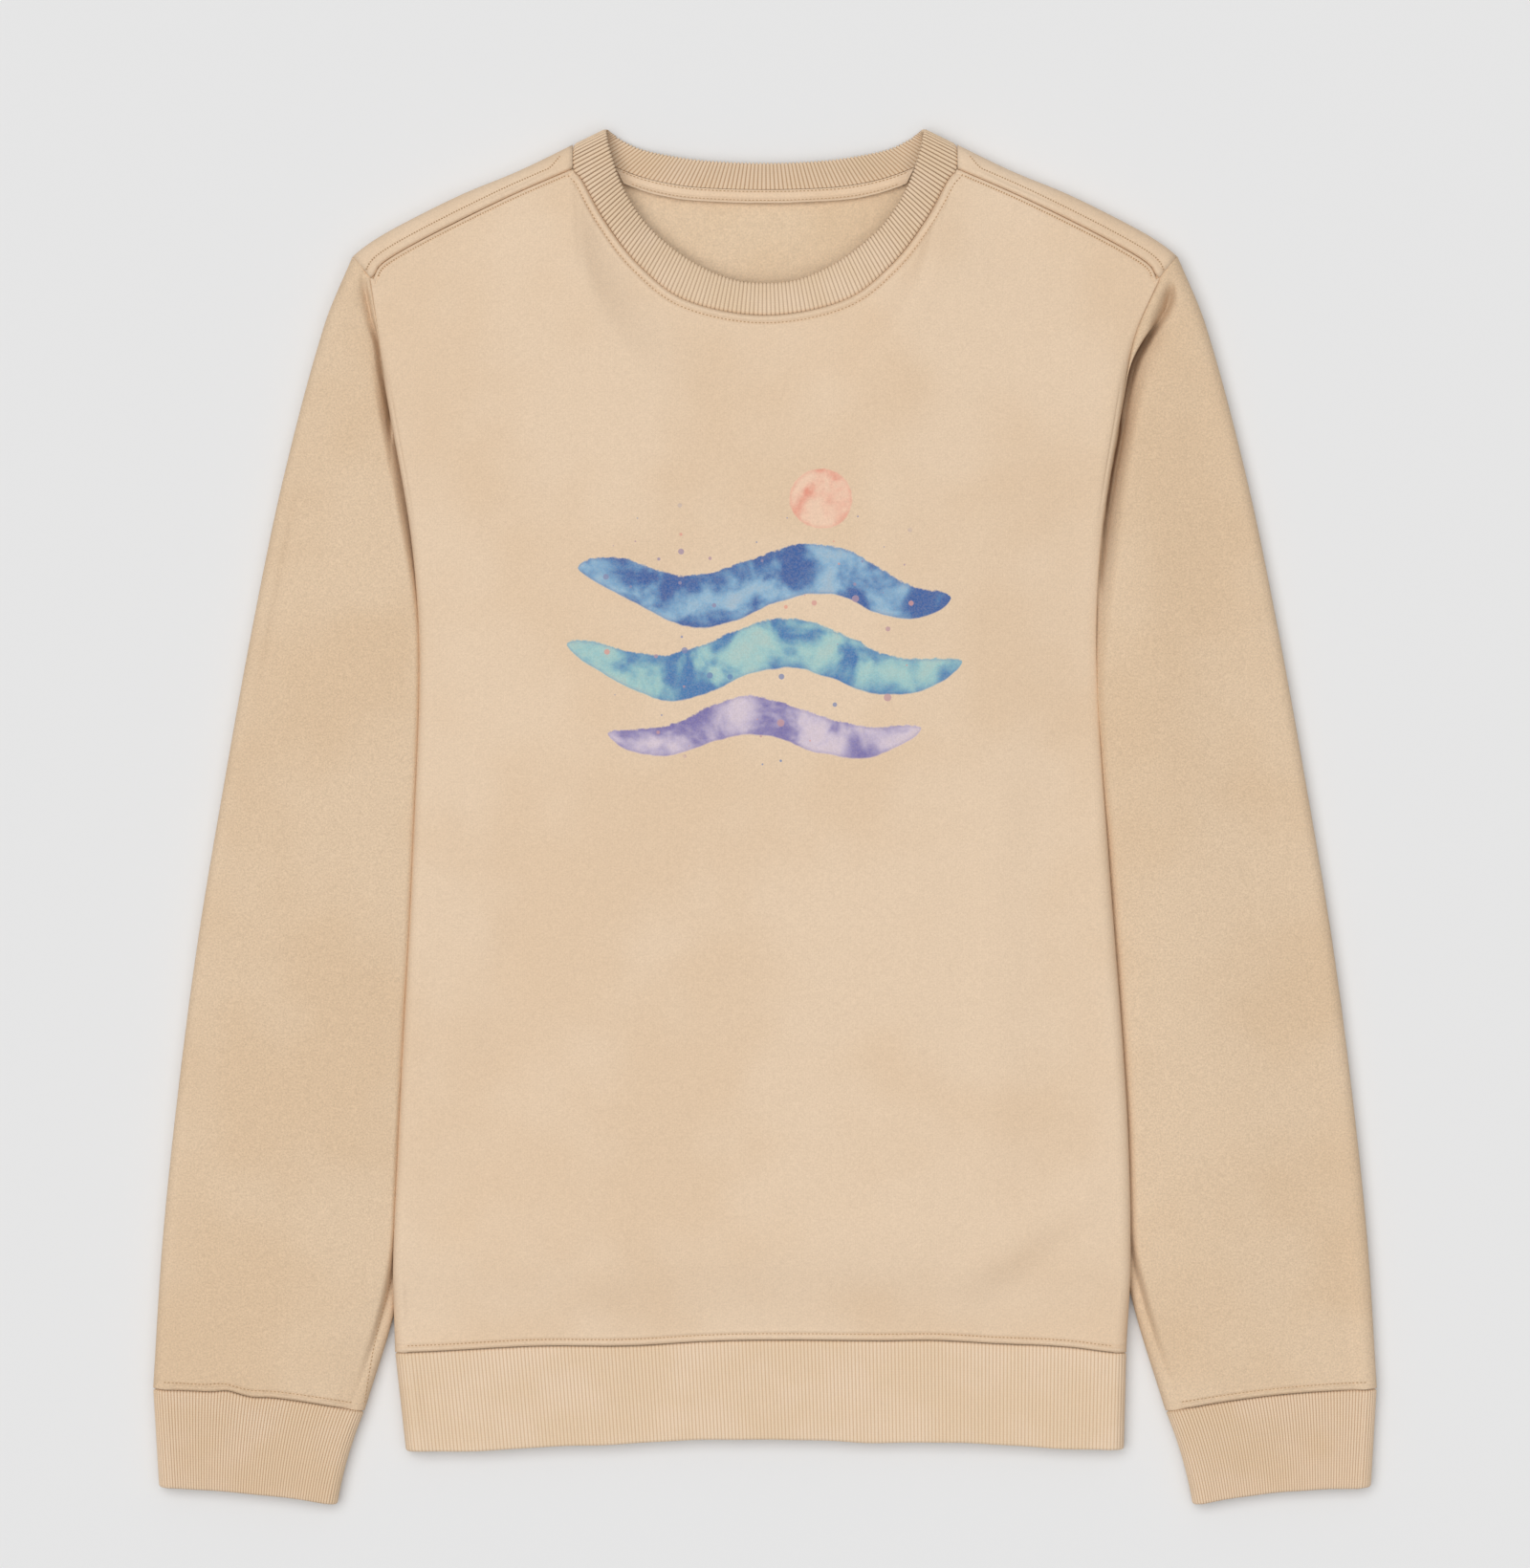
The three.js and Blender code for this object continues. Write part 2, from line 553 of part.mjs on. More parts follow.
// Collar: one rib band folded at the shoulders, high at the front and low at the back.
// heights(middle, q) gives the outer face of the band, where middle goes from 0 at a shoulder
// to 1 in the middle, and q from 0 at the seam to 1 at the free edge
function collarBand(path, up, heights) {
  const foldSteps = 4;
  const across = 4;
  const radius = SHOULDER_FOLD / 2;
  const point = ({ seam, edge }, q) => {
    const width = seam.distanceTo(edge);
    return seam.clone().lerp(edge, mix(GAP / width, 1, q));
  };
  const place = (i, j) => {
    const q = j / across;
    const k = i - foldSteps;
    const fromFold = Math.min(i, 2 * foldSteps + NECK_STEPS - i);
    if (fromFold < foldSteps) {
      const side = k < 0 ? -1 : 1;
      const tip = point(path.at(0), q);
      const inward = point(path.at(radius / path.length), q).sub(tip).normalize();
      const centre = tip.clone().addScaledVector(inward, radius);
      const angle = up * mix(2, 90, fromFold / foldSteps);
      const r = radius - GAP / 2;
      const z = radius + up * GAP / 2;
      return onFold(-side * centre.x, centre.y, z, r, side * inward.x, -inward.y, angle, RIB);
    }
    const station = path.stations[k];
    const p = point(station, q);
    const outer = heights(1 - Math.abs(2 * station.s - 1), q);
    return [new THREE.Vector3(p.x, p.y, outer), new THREE.Vector3(p.x, p.y, outer - up * RIB)];
  };
  return layer(2 * foldSteps + NECK_STEPS, across, place);
}

function collarFront() {
  return collarBand(frontNeck, 1, (middle, q) => {
    const atSeam = mix(SHOULDER_FOLD, NECKLINE_TOP - 1, ease(middle / 0.4));
    const atEdge = mix(SHOULDER_FOLD, COLLAR_INNER_TOP, ease(middle / 0.5));
    return mix(atSeam, atEdge, q) + COLLAR_ROLL * Math.sin(Math.PI * q) * ease(middle / 0.3);
  });
}

function collarBack() {
  return collarBand(backNeck, -1, (middle, q) => COLLAR_BACK_TILT * q * ease(middle / 0.5));
}

function neckTape() {
  const across = 2;
  const first = 1;
  const columns = NECK_STEPS - 2 * first;
  const lower = spline(mirrored(TAPE_EDGE));
  const place = (i, j) => {
    const { seam } = backNeck.stations[first + i];
    const from = new THREE.Vector2(seam.x, seam.y - 2 * GAP);
    const at = from.lerp(lower.getPointAt(i / columns), j / across);
    return flatLayer(at.x, at.y, CLOTH + GAP + TAPE, TAPE);
  };
  return layer(columns, across, place);
}

const sweatshirt = new THREE.Group();

function piece(name, geometry, material) {
  const mesh = new THREE.Mesh(geometry, material);
  mesh.name = name;
  sweatshirt.add(mesh);
}

piece('front_panel', frontPanel(), fleece);
piece('back_panel', backPanel(), fleece);
piece('hem_band', hemBand(), rib);
piece('collar_front', collarFront(), rib);
piece('collar_back', collarBack(), rib);
piece('neck_tape', neckTape(), tape);
for (const [name, side] of [['left', 1], ['right', -1]]) {
  piece(`shoulder_${name}`, shoulderStrip(side), fleece);
  piece(`side_turn_${name}`, sideTurn(side), fleece);
  piece(`sleeve_${name}_top`, sleeveTopLayer(side), fleece);
  piece(`sleeve_${name}_under`, sleeveUnderLayer(side), fleece);
  piece(`cuff_${name}`, cuff(side), rib);
}

export default sweatshirt;
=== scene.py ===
import math
import random

import bpy
import numpy as np
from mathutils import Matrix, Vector
from mathutils.bvhtree import BVHTree


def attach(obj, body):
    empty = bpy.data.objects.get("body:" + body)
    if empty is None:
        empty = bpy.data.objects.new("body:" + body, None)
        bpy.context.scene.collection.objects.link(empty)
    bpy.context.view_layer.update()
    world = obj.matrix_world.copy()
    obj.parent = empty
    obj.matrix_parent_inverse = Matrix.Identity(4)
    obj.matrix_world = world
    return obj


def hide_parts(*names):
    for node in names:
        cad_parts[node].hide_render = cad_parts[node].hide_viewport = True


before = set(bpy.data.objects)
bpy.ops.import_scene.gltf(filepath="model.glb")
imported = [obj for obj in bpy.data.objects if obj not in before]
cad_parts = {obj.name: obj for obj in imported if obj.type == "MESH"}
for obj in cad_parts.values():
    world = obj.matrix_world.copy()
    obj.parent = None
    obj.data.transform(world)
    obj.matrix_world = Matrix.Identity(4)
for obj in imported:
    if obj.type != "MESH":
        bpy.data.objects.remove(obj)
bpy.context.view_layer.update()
MM = 0.001

# Cloth thicknesses and the clearance between pieces that are sewn together
CLOTH = 2.4
RIB = 3.2
TAPE = 1.4
GAP = 0.08

# Heights above the floor of the outer face
BODY_EDGE_TOP = 23.6
BODY_CROWN = 6
CROWN_RUN = 110
HEM_SEAM_TOP = 15.5
SHOULDER_TOP = 17.2
NECKLINE_TOP = 19.5
SIDE_LIFT = 10.4
HEM_SIDE_LIFT = 0.8
SLEEVE_TOP = 21
SLEEVE_OUTER_FOLD = 14
SLEEVE_TUCKED = 9.5
CUFF_SEAM_TOP = 14.5
CUFF_HEIGHT = 13
HEM_HEIGHT = 14
SHOULDER_FOLD = 17.2
COLLAR_INNER_TOP = 15.5
COLLAR_ROLL = 1.2
COLLAR_BACK_TILT = 6
# How far from the hem's seam and the shoulder the side fold reaches its full height, and where and
# over what run it lifts off the floor
HEM_SETTLE = 55
SHOULDER_SETTLE = 60
SIDE_LIFT_START = (-284, 48)
# Angle where the side fold ends, at the shoulder and where the sides are turned under
SIDE_FOLD_END = (60, -90)

# Body: half its width and its middle line, as [y, x] from the shoulder to the hem
SHOULDER_END_Y = 289
ARMHOLE_Y = 223
FOLD_Y = 205
BODY_HALF = [
    [SHOULDER_END_Y, 211.8], [258, 202.8], [ARMHOLE_Y, 197.2], [150, 185.4], [85, 181.9],
    [-22, 186.9], [-156, 195.2], [-240, 198], [-286, 196.6],
]
BODY_MIDDLE = [
    [SHOULDER_END_Y, 0], [258, -4.4], [ARMHOLE_Y, -5.3], [60, -3.5], [-156, -1], [-286, -2.3],
]
HEM_SEAM_Y = -281
HEM_SEAM_DROP = 5
HEM_EDGE_Y = -334.7
HEM_EDGE_DROP = 5.3
HEM_SEAM_HALF = 196.6
HEM_EDGE_HALF = 193

# Shoulder and neck, from the neck out or from the shoulder to the middle
SHOULDER_SEAM = [[103, 348], [138.8, 332.4], [180, 312], [205, 297.4]]
SHOULDER_LINE = [[103, 361.4], [132, 347.3], [164, 334], [197, 317.5], [213, 308], [221.8, 301]]
NECKLINE = [[103, 348], [98, 341.5], [86, 320], [68, 296.5], [42, 277], [0, 269]]
NECK_CORNER_RUN = 13.4
COLLAR_TIP = [85.5, 370]
COLLAR_INNER = [[83, 358], [76, 338], [62.5, 317.5], [41.5, 300], [19, 289.3], [0, 287]]
BACK_NECK = [[91, 355], [78, 348.5], [62, 343], [42, 339.2], [20, 337.8], [0, 337.5]]
BACK_COLLAR_EDGE = [[76.5, 364], [64, 358.5], [41, 354], [20, 352.2], [0, 351.7]]
TAPE_EDGE = [[76, 340.3], [60, 335], [40, 331.6], [0, 330]]

# Sleeve: outer and inner edge as [y, x], and the cuff's corners
SLEEVE_OUTER = [
    [301, 221.8], [264, 237], [182, 259], [100, 276], [17, 291], [-65, 304.7],
    [-147, 315.5], [-229, 324], [-307.2, 329],
]
SLEEVE_INNER = [
    [ARMHOLE_Y, 190.5], [180, 175], [140, 166.5], [80, 161.5], [-100, 170.5],
    [-180, 181], [-262, 198], [-319.5, 215.4],
]
ARMHOLE_CORNER = [211.8, 289]
CUFF_SEAM_OUTER = [329, -307.2]
CUFF_SEAM_INNER = [215.4, -319.5]
CUFF_END_OUTER = [325.8, -360.5]
CUFF_END_INNER = [230, -370]
CUFF_BOW = 1.6

# Underside of the front
TURN_UNDER = 70
SIDE_SEAM_TOP = 150
RAMP_START = 26
RAMP_END = 60

# Lengths along the cloth: of the body, of a sleeve, of a sleeve down to its cuff's seam, and of the
# ribbed tubes, and the collar's width
BODY_LENGTH = 560
SLEEVE_LENGTH = 605
SLEEVE_TO_CUFF = 610
CUFF_LENGTH = 53
HEM_LENGTH = 53.7
COLLAR_WIDTH = 18

# Knit and sewing
COLLAR_PITCH = 2.35
HEM_PITCH = 1.95
CUFF_PITCH = 1.7
COLLAR_GROOVE = 0.40
# Grooves of the collar beside those: at its folded ends, and in the middle of the front
END_GROOVE = 1.4
MIDDLE_GROOVE = 0.8
HEM_GROOVE = 0.20
CUFF_GROOVE = 0.38
STEPS_PER_RIB = 6
STITCH_PITCH = 2.05
STITCH_SHARE = 0.6
STITCH_RADIUS = 0.3
DENSE_PITCH = 1.5
DENSE_RADIUS = 0.5
STRIP_RADIUS = 0.42
STITCH_LIFT = 0.12
# Distance of the stitches from the seam they run beside
NECK_STITCH = 4.1
HEM_STITCH = 3.4
SHOULDER_STITCH = 2.2
STRIP_STITCH = 5.0
TAPE_WIDTH = 7.5
TAPE_STITCHES = (1.1, 6.0)
# Places near a doubled edge, as distances from it
EDGE_STEPS = [2.0, 1.6, 1.2, 0.8, 0.45, 0.2, 0.05, 0.0]
SIDES = {1: "left", -1: "right"}

# Crease in each sleeve head beside the armhole seam, as [y, x] on the +X side and on the -X side
ARMHOLE_CREASE = {
    1: [[293, 224.3], [283.4, 219.2], [272.7, 215.6], [263.9, 210.5], [255.4, 204.8],
        [245.3, 199.4], [234.5, 196.1], [220, 193.3], [202, 189.7], [180, 185.6], [150, 181.7],
        [110, 178.8]],
    -1: [[288, 215.6], [270.2, 212.1], [254.5, 207.9], [239.4, 205.9], [221.7, 203], [208, 201]],
}
# Its depth, width and painted shade (colour darkened where shade falls in it), in its soft upper and its
# sharp lower stretch, the width of its near wall, the roll beside it, how far it runs in under the body,
# and where and over what run it ends
CREASE_DEPTH = {1: (8.5, 16.5), -1: (5.0, 7.0)}
CREASE_NEAR = {1: 4.4, -1: 1.9}
CREASE_WIDTH = {1: (2.4, 3.3), -1: (2.8, 2.4)}
CREASE_ROLL = {1: 2.2, -1: 0.9}
CREASE_UNDERCUT = {1: 3.2, -1: 1.2}
CREASE_PAINTED_SHADE = {1: (0.25, 0.9), -1: (0.1, 0.3)}
CREASE_END = {1: (105, 75), -1: (200, 18)}
CREASE_TOP = (300, 24)
# Share of the far wall's width that is broad, and the width of the sharp stretch at its lower end
FAR_SHARE = {1: 0.42, -1: 0.3}
CREASE_SLIT = 1.7
# Where the soft stretch turns into the sharp one, and where the seam beside it fades, as y and run
CREASE_TURN = (268, 14)
SEAM_FADE = (205, 15)
# How each sleeve rises from the body's edge: the share of a first step, its run beside the upper
# and the lower body, how far from the outer fold the sleeve reaches its full height, and where the
# longer upper run ends
SLEEVE_STEP = {1: (0.7, 13, 8.5, 75, 60), -1: (1.0, 8, 6, 100, 95)}
SLEEVE_CONTACT = 4.2
SLEEVE_LOW_END = 3.5
SLEEVE_LEAST = 2.2 * CLOTH
# Sleeve seam that shows on the front near the -X cuff
UNDERARM_SEAM = [[215.3, -315.7], [210.1, -284.7], [203.8, -259.5], [198.7, -240.7]]

# How far the hem's seam and edge dip below their even bow, as x, half width and drop
HEM_SEAM_DIPS = [(-75, 38, 2.3), (-178, 60, 2.0), (92, 22, -0.9), (190, 20, 2.2)]
HEM_EDGE_DIPS = [(-150, 42, 2.6), (-85, 30, 1.5), (58, 24, 1.5), (155, 28, 1.2)]
# Rise of each cuff's seam and of its free edge in the middle
CUFF_RISE = {1: (2.4, 2.2), -1: (2.2, 1.4)}

# Soft folds pressed into the cloth, as x0, y0, x1, y1, width and height of each ridge or dent
BODY_FOLDS = [
    (-124, -3, -136, -75, 13, -1.1),
    (-136, -75, -140, -131, 14, -1.7),
    (-140, -131, -170, -214, 17, -1.5),
    (-177, 7, -170, -44, 11, 0.9),
    (126, 7, 123, -178, 15, 1.5),
    (177, 151, 174, 33, 42, -5.5),
    (188, 128, 184, 62, 20, -2.6),
    (-76, -129, 14, -132, 9, -0.55),
    (25, -149, 95, -149, 9, -0.5),
    (-90, -190, 0, -190, 9, -0.5),
    (25, -206, 67, -206, 10, -0.45),
    (-89, -219, -99, -239, 8, -0.7),
    (109, -246, 171, -205, 13, 1.6),
    (130, -252, 160, -228, 10, -1.3),
    (25, 233, 61, 207, 9, -0.4),
    (-82, -252, -82, -252, 12, 0.8),
    (-96, -270, -96, -270, 9, -0.8),
    (-154, 300, -154, 300, 26, -1.2),
    (123, 300, 123, 300, 26, -1.2),
]
SLEEVE_FOLDS = {
    -1: [
        (-281, 95, -272, 165, 22, -2.2),
        (-262, -54, -236, -48, 8, -0.8),
        (-268, -84, -238, -78, 8, -0.8),
        (-212, -150, -205, -190, 14, 1.0),
        (-292, -288, -262, -286, 10, -1.2),
    ],
    1: [
        (218, -145, 236, -172, 14, -1.2),
        (318, -240, 326, -300, 18, -1.8),
        (262, 120, 270, 20, 22, 0.7),
        (240, -230, 262, -262, 15, 1.0),
    ],
}
CUFF_FOLDS = [
    (290, -335, 262, -352, 16, -0.9), (-300, -335, -262, -330, 15, -0.9),
    (-240, -345, -236, -360, 10, 0.7),
]
HEM_FOLDS = [
    (-69, -294, -60, -318, 12, -1.0), (-185, -307, -165, -330, 12, -1.2),
    (60, -300, 66, -325, 16, -0.8), (130, -296, 126, -322, 12, -0.8),
]


def mix(a, b, t):
    return a + (b - a) * t


def clamp01(t):
    return np.clip(t, 0.0, 1.0)


def ease(t):
    t = clamp01(t)
    return t * t * (3 - 2 * t)


def puff(t):
    return np.sin(clamp01(t) * math.pi / 2)


def bell(t):
    return np.exp(-(t**2))


# A smooth curve through [y, value] knots, given from the highest y down
def follow(knots, y):
    ys, xs = np.asarray(knots, float).T
    last = len(ys) - 1
    before = np.maximum(np.arange(last + 1) - 1, 0)
    after = np.minimum(np.arange(last + 1) + 1, last)
    slopes = (xs[after] - xs[before]) / (ys[after] - ys[before])
    y = np.asarray(y, float)
    i = np.clip(np.searchsorted(-ys, -y, side="right") - 1, 0, last - 1)
    h = ys[i + 1] - ys[i]
    t = clamp01((y - ys[i]) / h)
    return (
        xs[i] * (1 + 2 * t) * (1 - t) ** 2 + xs[i + 1] * t * t * (3 - 2 * t)
        + h * slopes[i] * t * (1 - t) ** 2 - h * slopes[i + 1] * t * t * (1 - t)
    )


# Distance along a line from its start to each of its points
def run_along(line):
    return np.concatenate([[0], np.cumsum(np.linalg.norm(np.diff(line, axis=0), axis=1))])


def place_at(line, run, d):
    return np.stack([np.interp(d, run, line[:, 0]), np.interp(d, run, line[:, 1])], axis=-1)


# A smooth plan curve through points, read by its length from 0 to 1
class Curve:
    steps = 2400

    def __init__(self, points):
        p = np.asarray(points, float)
        last = len(p) - 1
        t = np.linspace(0, last, self.steps + 1)
        i = np.minimum(t.astype(int), last - 1)
        w = (t - i)[:, None]
        a, b, c, d = p[np.maximum(i - 1, 0)], p[i], p[i + 1], p[np.minimum(i + 2, last)]
        m, n = (c - a) / 2, (d - b) / 2
        self.line = (2 * b - 2 * c + m + n) * w**3 + (3 * c - 3 * b - 2 * m - n) * w**2 + m * w + b
        self.run = run_along(self.line)
        self.length = self.run[-1]

    def at(self, s):
        return place_at(self.line, self.run, np.asarray(s, float) * self.length)


def mirrored(half):
    return [[-x, y] for x, y in half] + [[x, y] for x, y in reversed(half) if x > 0]


def unit(v):
    return v / np.linalg.norm(v)


# Stations from 0 to 1 along a length: fine near both ends, coarse between
def graded(length, fine, coarse, reach):
    steps = [0.0]
    while steps[-1] < length / 2:
        step = fine if steps[-1] < reach else min(coarse, (steps[-1] - steps[-2]) * 1.2)
        steps.append(steps[-1] + step)
    half = np.array(steps) / steps[-1] / 2
    return np.concatenate([half, 1 - half[-2::-1]])


# Height of a set of ridges and dents at the points (x, y)
def pressed(folds, x, y):
    total = np.zeros(np.broadcast(x, y).shape)
    for x0, y0, x1, y1, width, height in folds:
        dx, dy = x1 - x0, y1 - y0
        t = clamp01(((x - x0) * dx + (y - y0) * dy) / max(dx * dx + dy * dy, 1e-9))
        away = (x - x0 - t * dx) ** 2 + (y - y0 - t * dy) ** 2
        total = total + height * np.exp(-away / width**2)
    return total


# Sum of soft dips along x
def dips(places, x):
    return sum(drop * bell((x - at) / half) for at, half, drop in places)


# Distance of the points (x, y) to a plan line
def distance_to(line, x, y):
    points = np.stack([np.ravel(x), np.ravel(y)], axis=1)
    best = np.full(len(points), 1e9)
    for k in range(len(line) - 1):
        a, d = line[k], line[k + 1] - line[k]
        t = clamp01((points - a) @ d / max(d @ d, 1e-12))
        best = np.minimum(best, np.linalg.norm(points - a - t[:, None] * d, axis=1))
    return best.reshape(np.shape(x))


def points(x, y, z):
    return np.stack(np.broadcast_arrays(np.asarray(x, float), y, z), axis=-1)


# Points round a fold's middle line at the given height: at distance k from it, in the plan
# direction out, and turned up by angle
def round_fold(middle, out, height, k, angle):
    reach = k * np.cos(angle)
    return points(middle[0] + out[0] * reach, middle[1] + out[1] * reach, height + k * np.sin(angle))


# A cloth layer made of two grids of points, its outer and its inner face, closed at the rims.
# keep says which cells are there, and a ring joins the last column to the first.
def layer(name, outer, inner, uv, keep=None, ring=False):
    rows, cols = outer.shape[:2]
    count = rows * cols
    span = cols if ring else cols - 1
    j, i = np.meshgrid(np.arange(rows - 1), np.arange(span), indexing="ij")
    if keep is not None:
        j, i = j[keep], i[keep]
    j, i = j.ravel(), i.ravel()
    k = (i + 1) % cols
    faces = np.stack([j * cols + i, j * cols + k, (j + 1) * cols + k, (j + 1) * cols + i], axis=1)
    edges = np.concatenate([faces[:, [a, (a + 1) % 4]] for a in range(4)])
    open_rim = ~np.isin(edges[:, 0] * count + edges[:, 1], edges[:, 1] * count + edges[:, 0])
    p, q = edges[open_rim].T
    rim = np.stack([q, p, p + count, q + count], axis=1)
    faces = np.concatenate([faces, faces[:, ::-1] + count, rim])
    verts = np.concatenate([outer.reshape(-1, 3), inner.reshape(-1, 3)]) * MM
    flat_uv = np.concatenate([uv.reshape(-1, uv.shape[-1])] * 2)
    used, faces = np.unique(faces, return_inverse=True)
    faces = faces.reshape(-1, 4)
    inside = np.zeros(len(faces), int)
    inside[len(j):2 * len(j)] = 1
    return solid(name, verts[used], faces, flat_uv[used], inside)


# A mesh from corner points and four-sided faces. inside is 1 on the faces with the second material.
# uv has the knit's two coordinates, and a third for the shade painted into a crease, where there is one
def solid(name, verts, faces, uv=None, inside=None):
    a, b, c, d = (verts[faces[:, n]] for n in range(4))
    volume = np.einsum("ij,ij->i", a, np.cross(b, c) + np.cross(c, d)).sum()
    if volume < 0:
        faces = faces[:, ::-1]
    mesh = bpy.data.meshes.new(name)
    mesh.from_pydata(verts.tolist(), [], faces.tolist())
    mesh.polygons.foreach_set("use_smooth", np.ones(len(faces), bool))
    if inside is not None:
        mesh.polygons.foreach_set("material_index", inside)
    if uv is not None:
        uv = uv[faces.ravel()]
        mesh.uv_layers.new(name="knit").data.foreach_set("uv", uv[:, :2].ravel())
        if uv.shape[1] > 2:
            # Painted shade of the crease, kept as a second UV map that darkens the sleeve's colour
            depth = np.repeat(uv[:, 2:], 2, axis=1)
            mesh.uv_layers.new(name="painted_crease_shade").data.foreach_set("uv", depth.ravel())
    piece = bpy.data.objects.new(name, mesh)
    bpy.context.scene.collection.objects.link(piece)
    return piece


# Where the hem's seam lies at x
def hem_seam_y(x):
    return HEM_SEAM_Y - HEM_SEAM_DROP * (x / HEM_SEAM_HALF) ** 2 - dips(HEM_SEAM_DIPS, x)


# Side fold of the body at y: its height, its plan middle and the angle where it ends
class SideFold:
    def __init__(self, y):
        at_hem = ease((y - HEM_SEAM_Y) / HEM_SETTLE)
        at_shoulder = ease((SHOULDER_END_Y - y) / SHOULDER_SETTLE)
        self.top = np.minimum(
            mix(HEM_SEAM_TOP, BODY_EDGE_TOP, at_hem), mix(SHOULDER_TOP, BODY_EDGE_TOP, at_shoulder)
        )
        start, run = SIDE_LIFT_START
        self.lift = mix(HEM_SIDE_LIFT, SIDE_LIFT, ease((y - start) / run))
        self.radius = (self.top - self.lift) / 2
        turned = clamp01((SHOULDER_END_Y - y) / (SHOULDER_END_Y - FOLD_Y))
        self.end = mix(*SIDE_FOLD_END, turned**2.2)
        reach = self.radius * np.cos(np.radians(np.maximum(0, self.end)))
        self.centre = follow(BODY_HALF, y) - reach
        self.middle = follow(BODY_MIDDLE, y)
        self.height = self.lift + self.radius


# The collar's seam and its free edge, from shoulder to shoulder
class NeckPath:
    def __init__(self, seam, edge):
        self.seam = Curve(mirrored([SHOULDER_LINE[0]] + seam))
        self.edge = Curve(mirrored([COLLAR_TIP] + edge))
        self.length = self.seam.length
        self.corner = NECK_CORNER_RUN / self.length


front_neck = NeckPath(NECKLINE, COLLAR_INNER)
back_neck = NeckPath(BACK_NECK, BACK_COLLAR_EDGE)
neck_span = np.linspace(front_neck.corner, 1 - front_neck.corner, 160)
neck_seam_line = front_neck.seam.at(neck_span)
neck_corner = front_neck.seam.at(1 - front_neck.corner)


# Raised roll, sunken stitch line and dip beside a seam, at distance d from it
def seam_relief(d, stitch, roll=0.8, dip=1.3):
    return (
        roll * bell((d / stitch - 0.45) / 0.3) - 0.7 * bell((d - stitch) / 0.6)
        + 0.25 * bell(d - stitch - 1.5) - dip * bell(d / 0.55)
    )


# Slow irregular waves, up to about 1 high
def waves(x, y, lengths, seed):
    rng = random.Random(seed)
    total = 0
    for length in lengths:
        turn, phase = rng.uniform(0, math.pi), rng.uniform(0, 2 * math.pi)
        along = x * math.cos(turn) + y * math.sin(turn)
        total = total + np.sin(2 * math.pi * along / length + phase)
    return total / len(lengths)


# Seam and puckers of the fleece at a distance above a ribbed tube
def above_rib(distance, x, lengths, seed):
    puckers = 0.35 * waves(x, 0, lengths, seed) * np.exp(-distance / 9)
    return seam_relief(distance, HEM_STITCH, 0.7, 0.8) + puckers


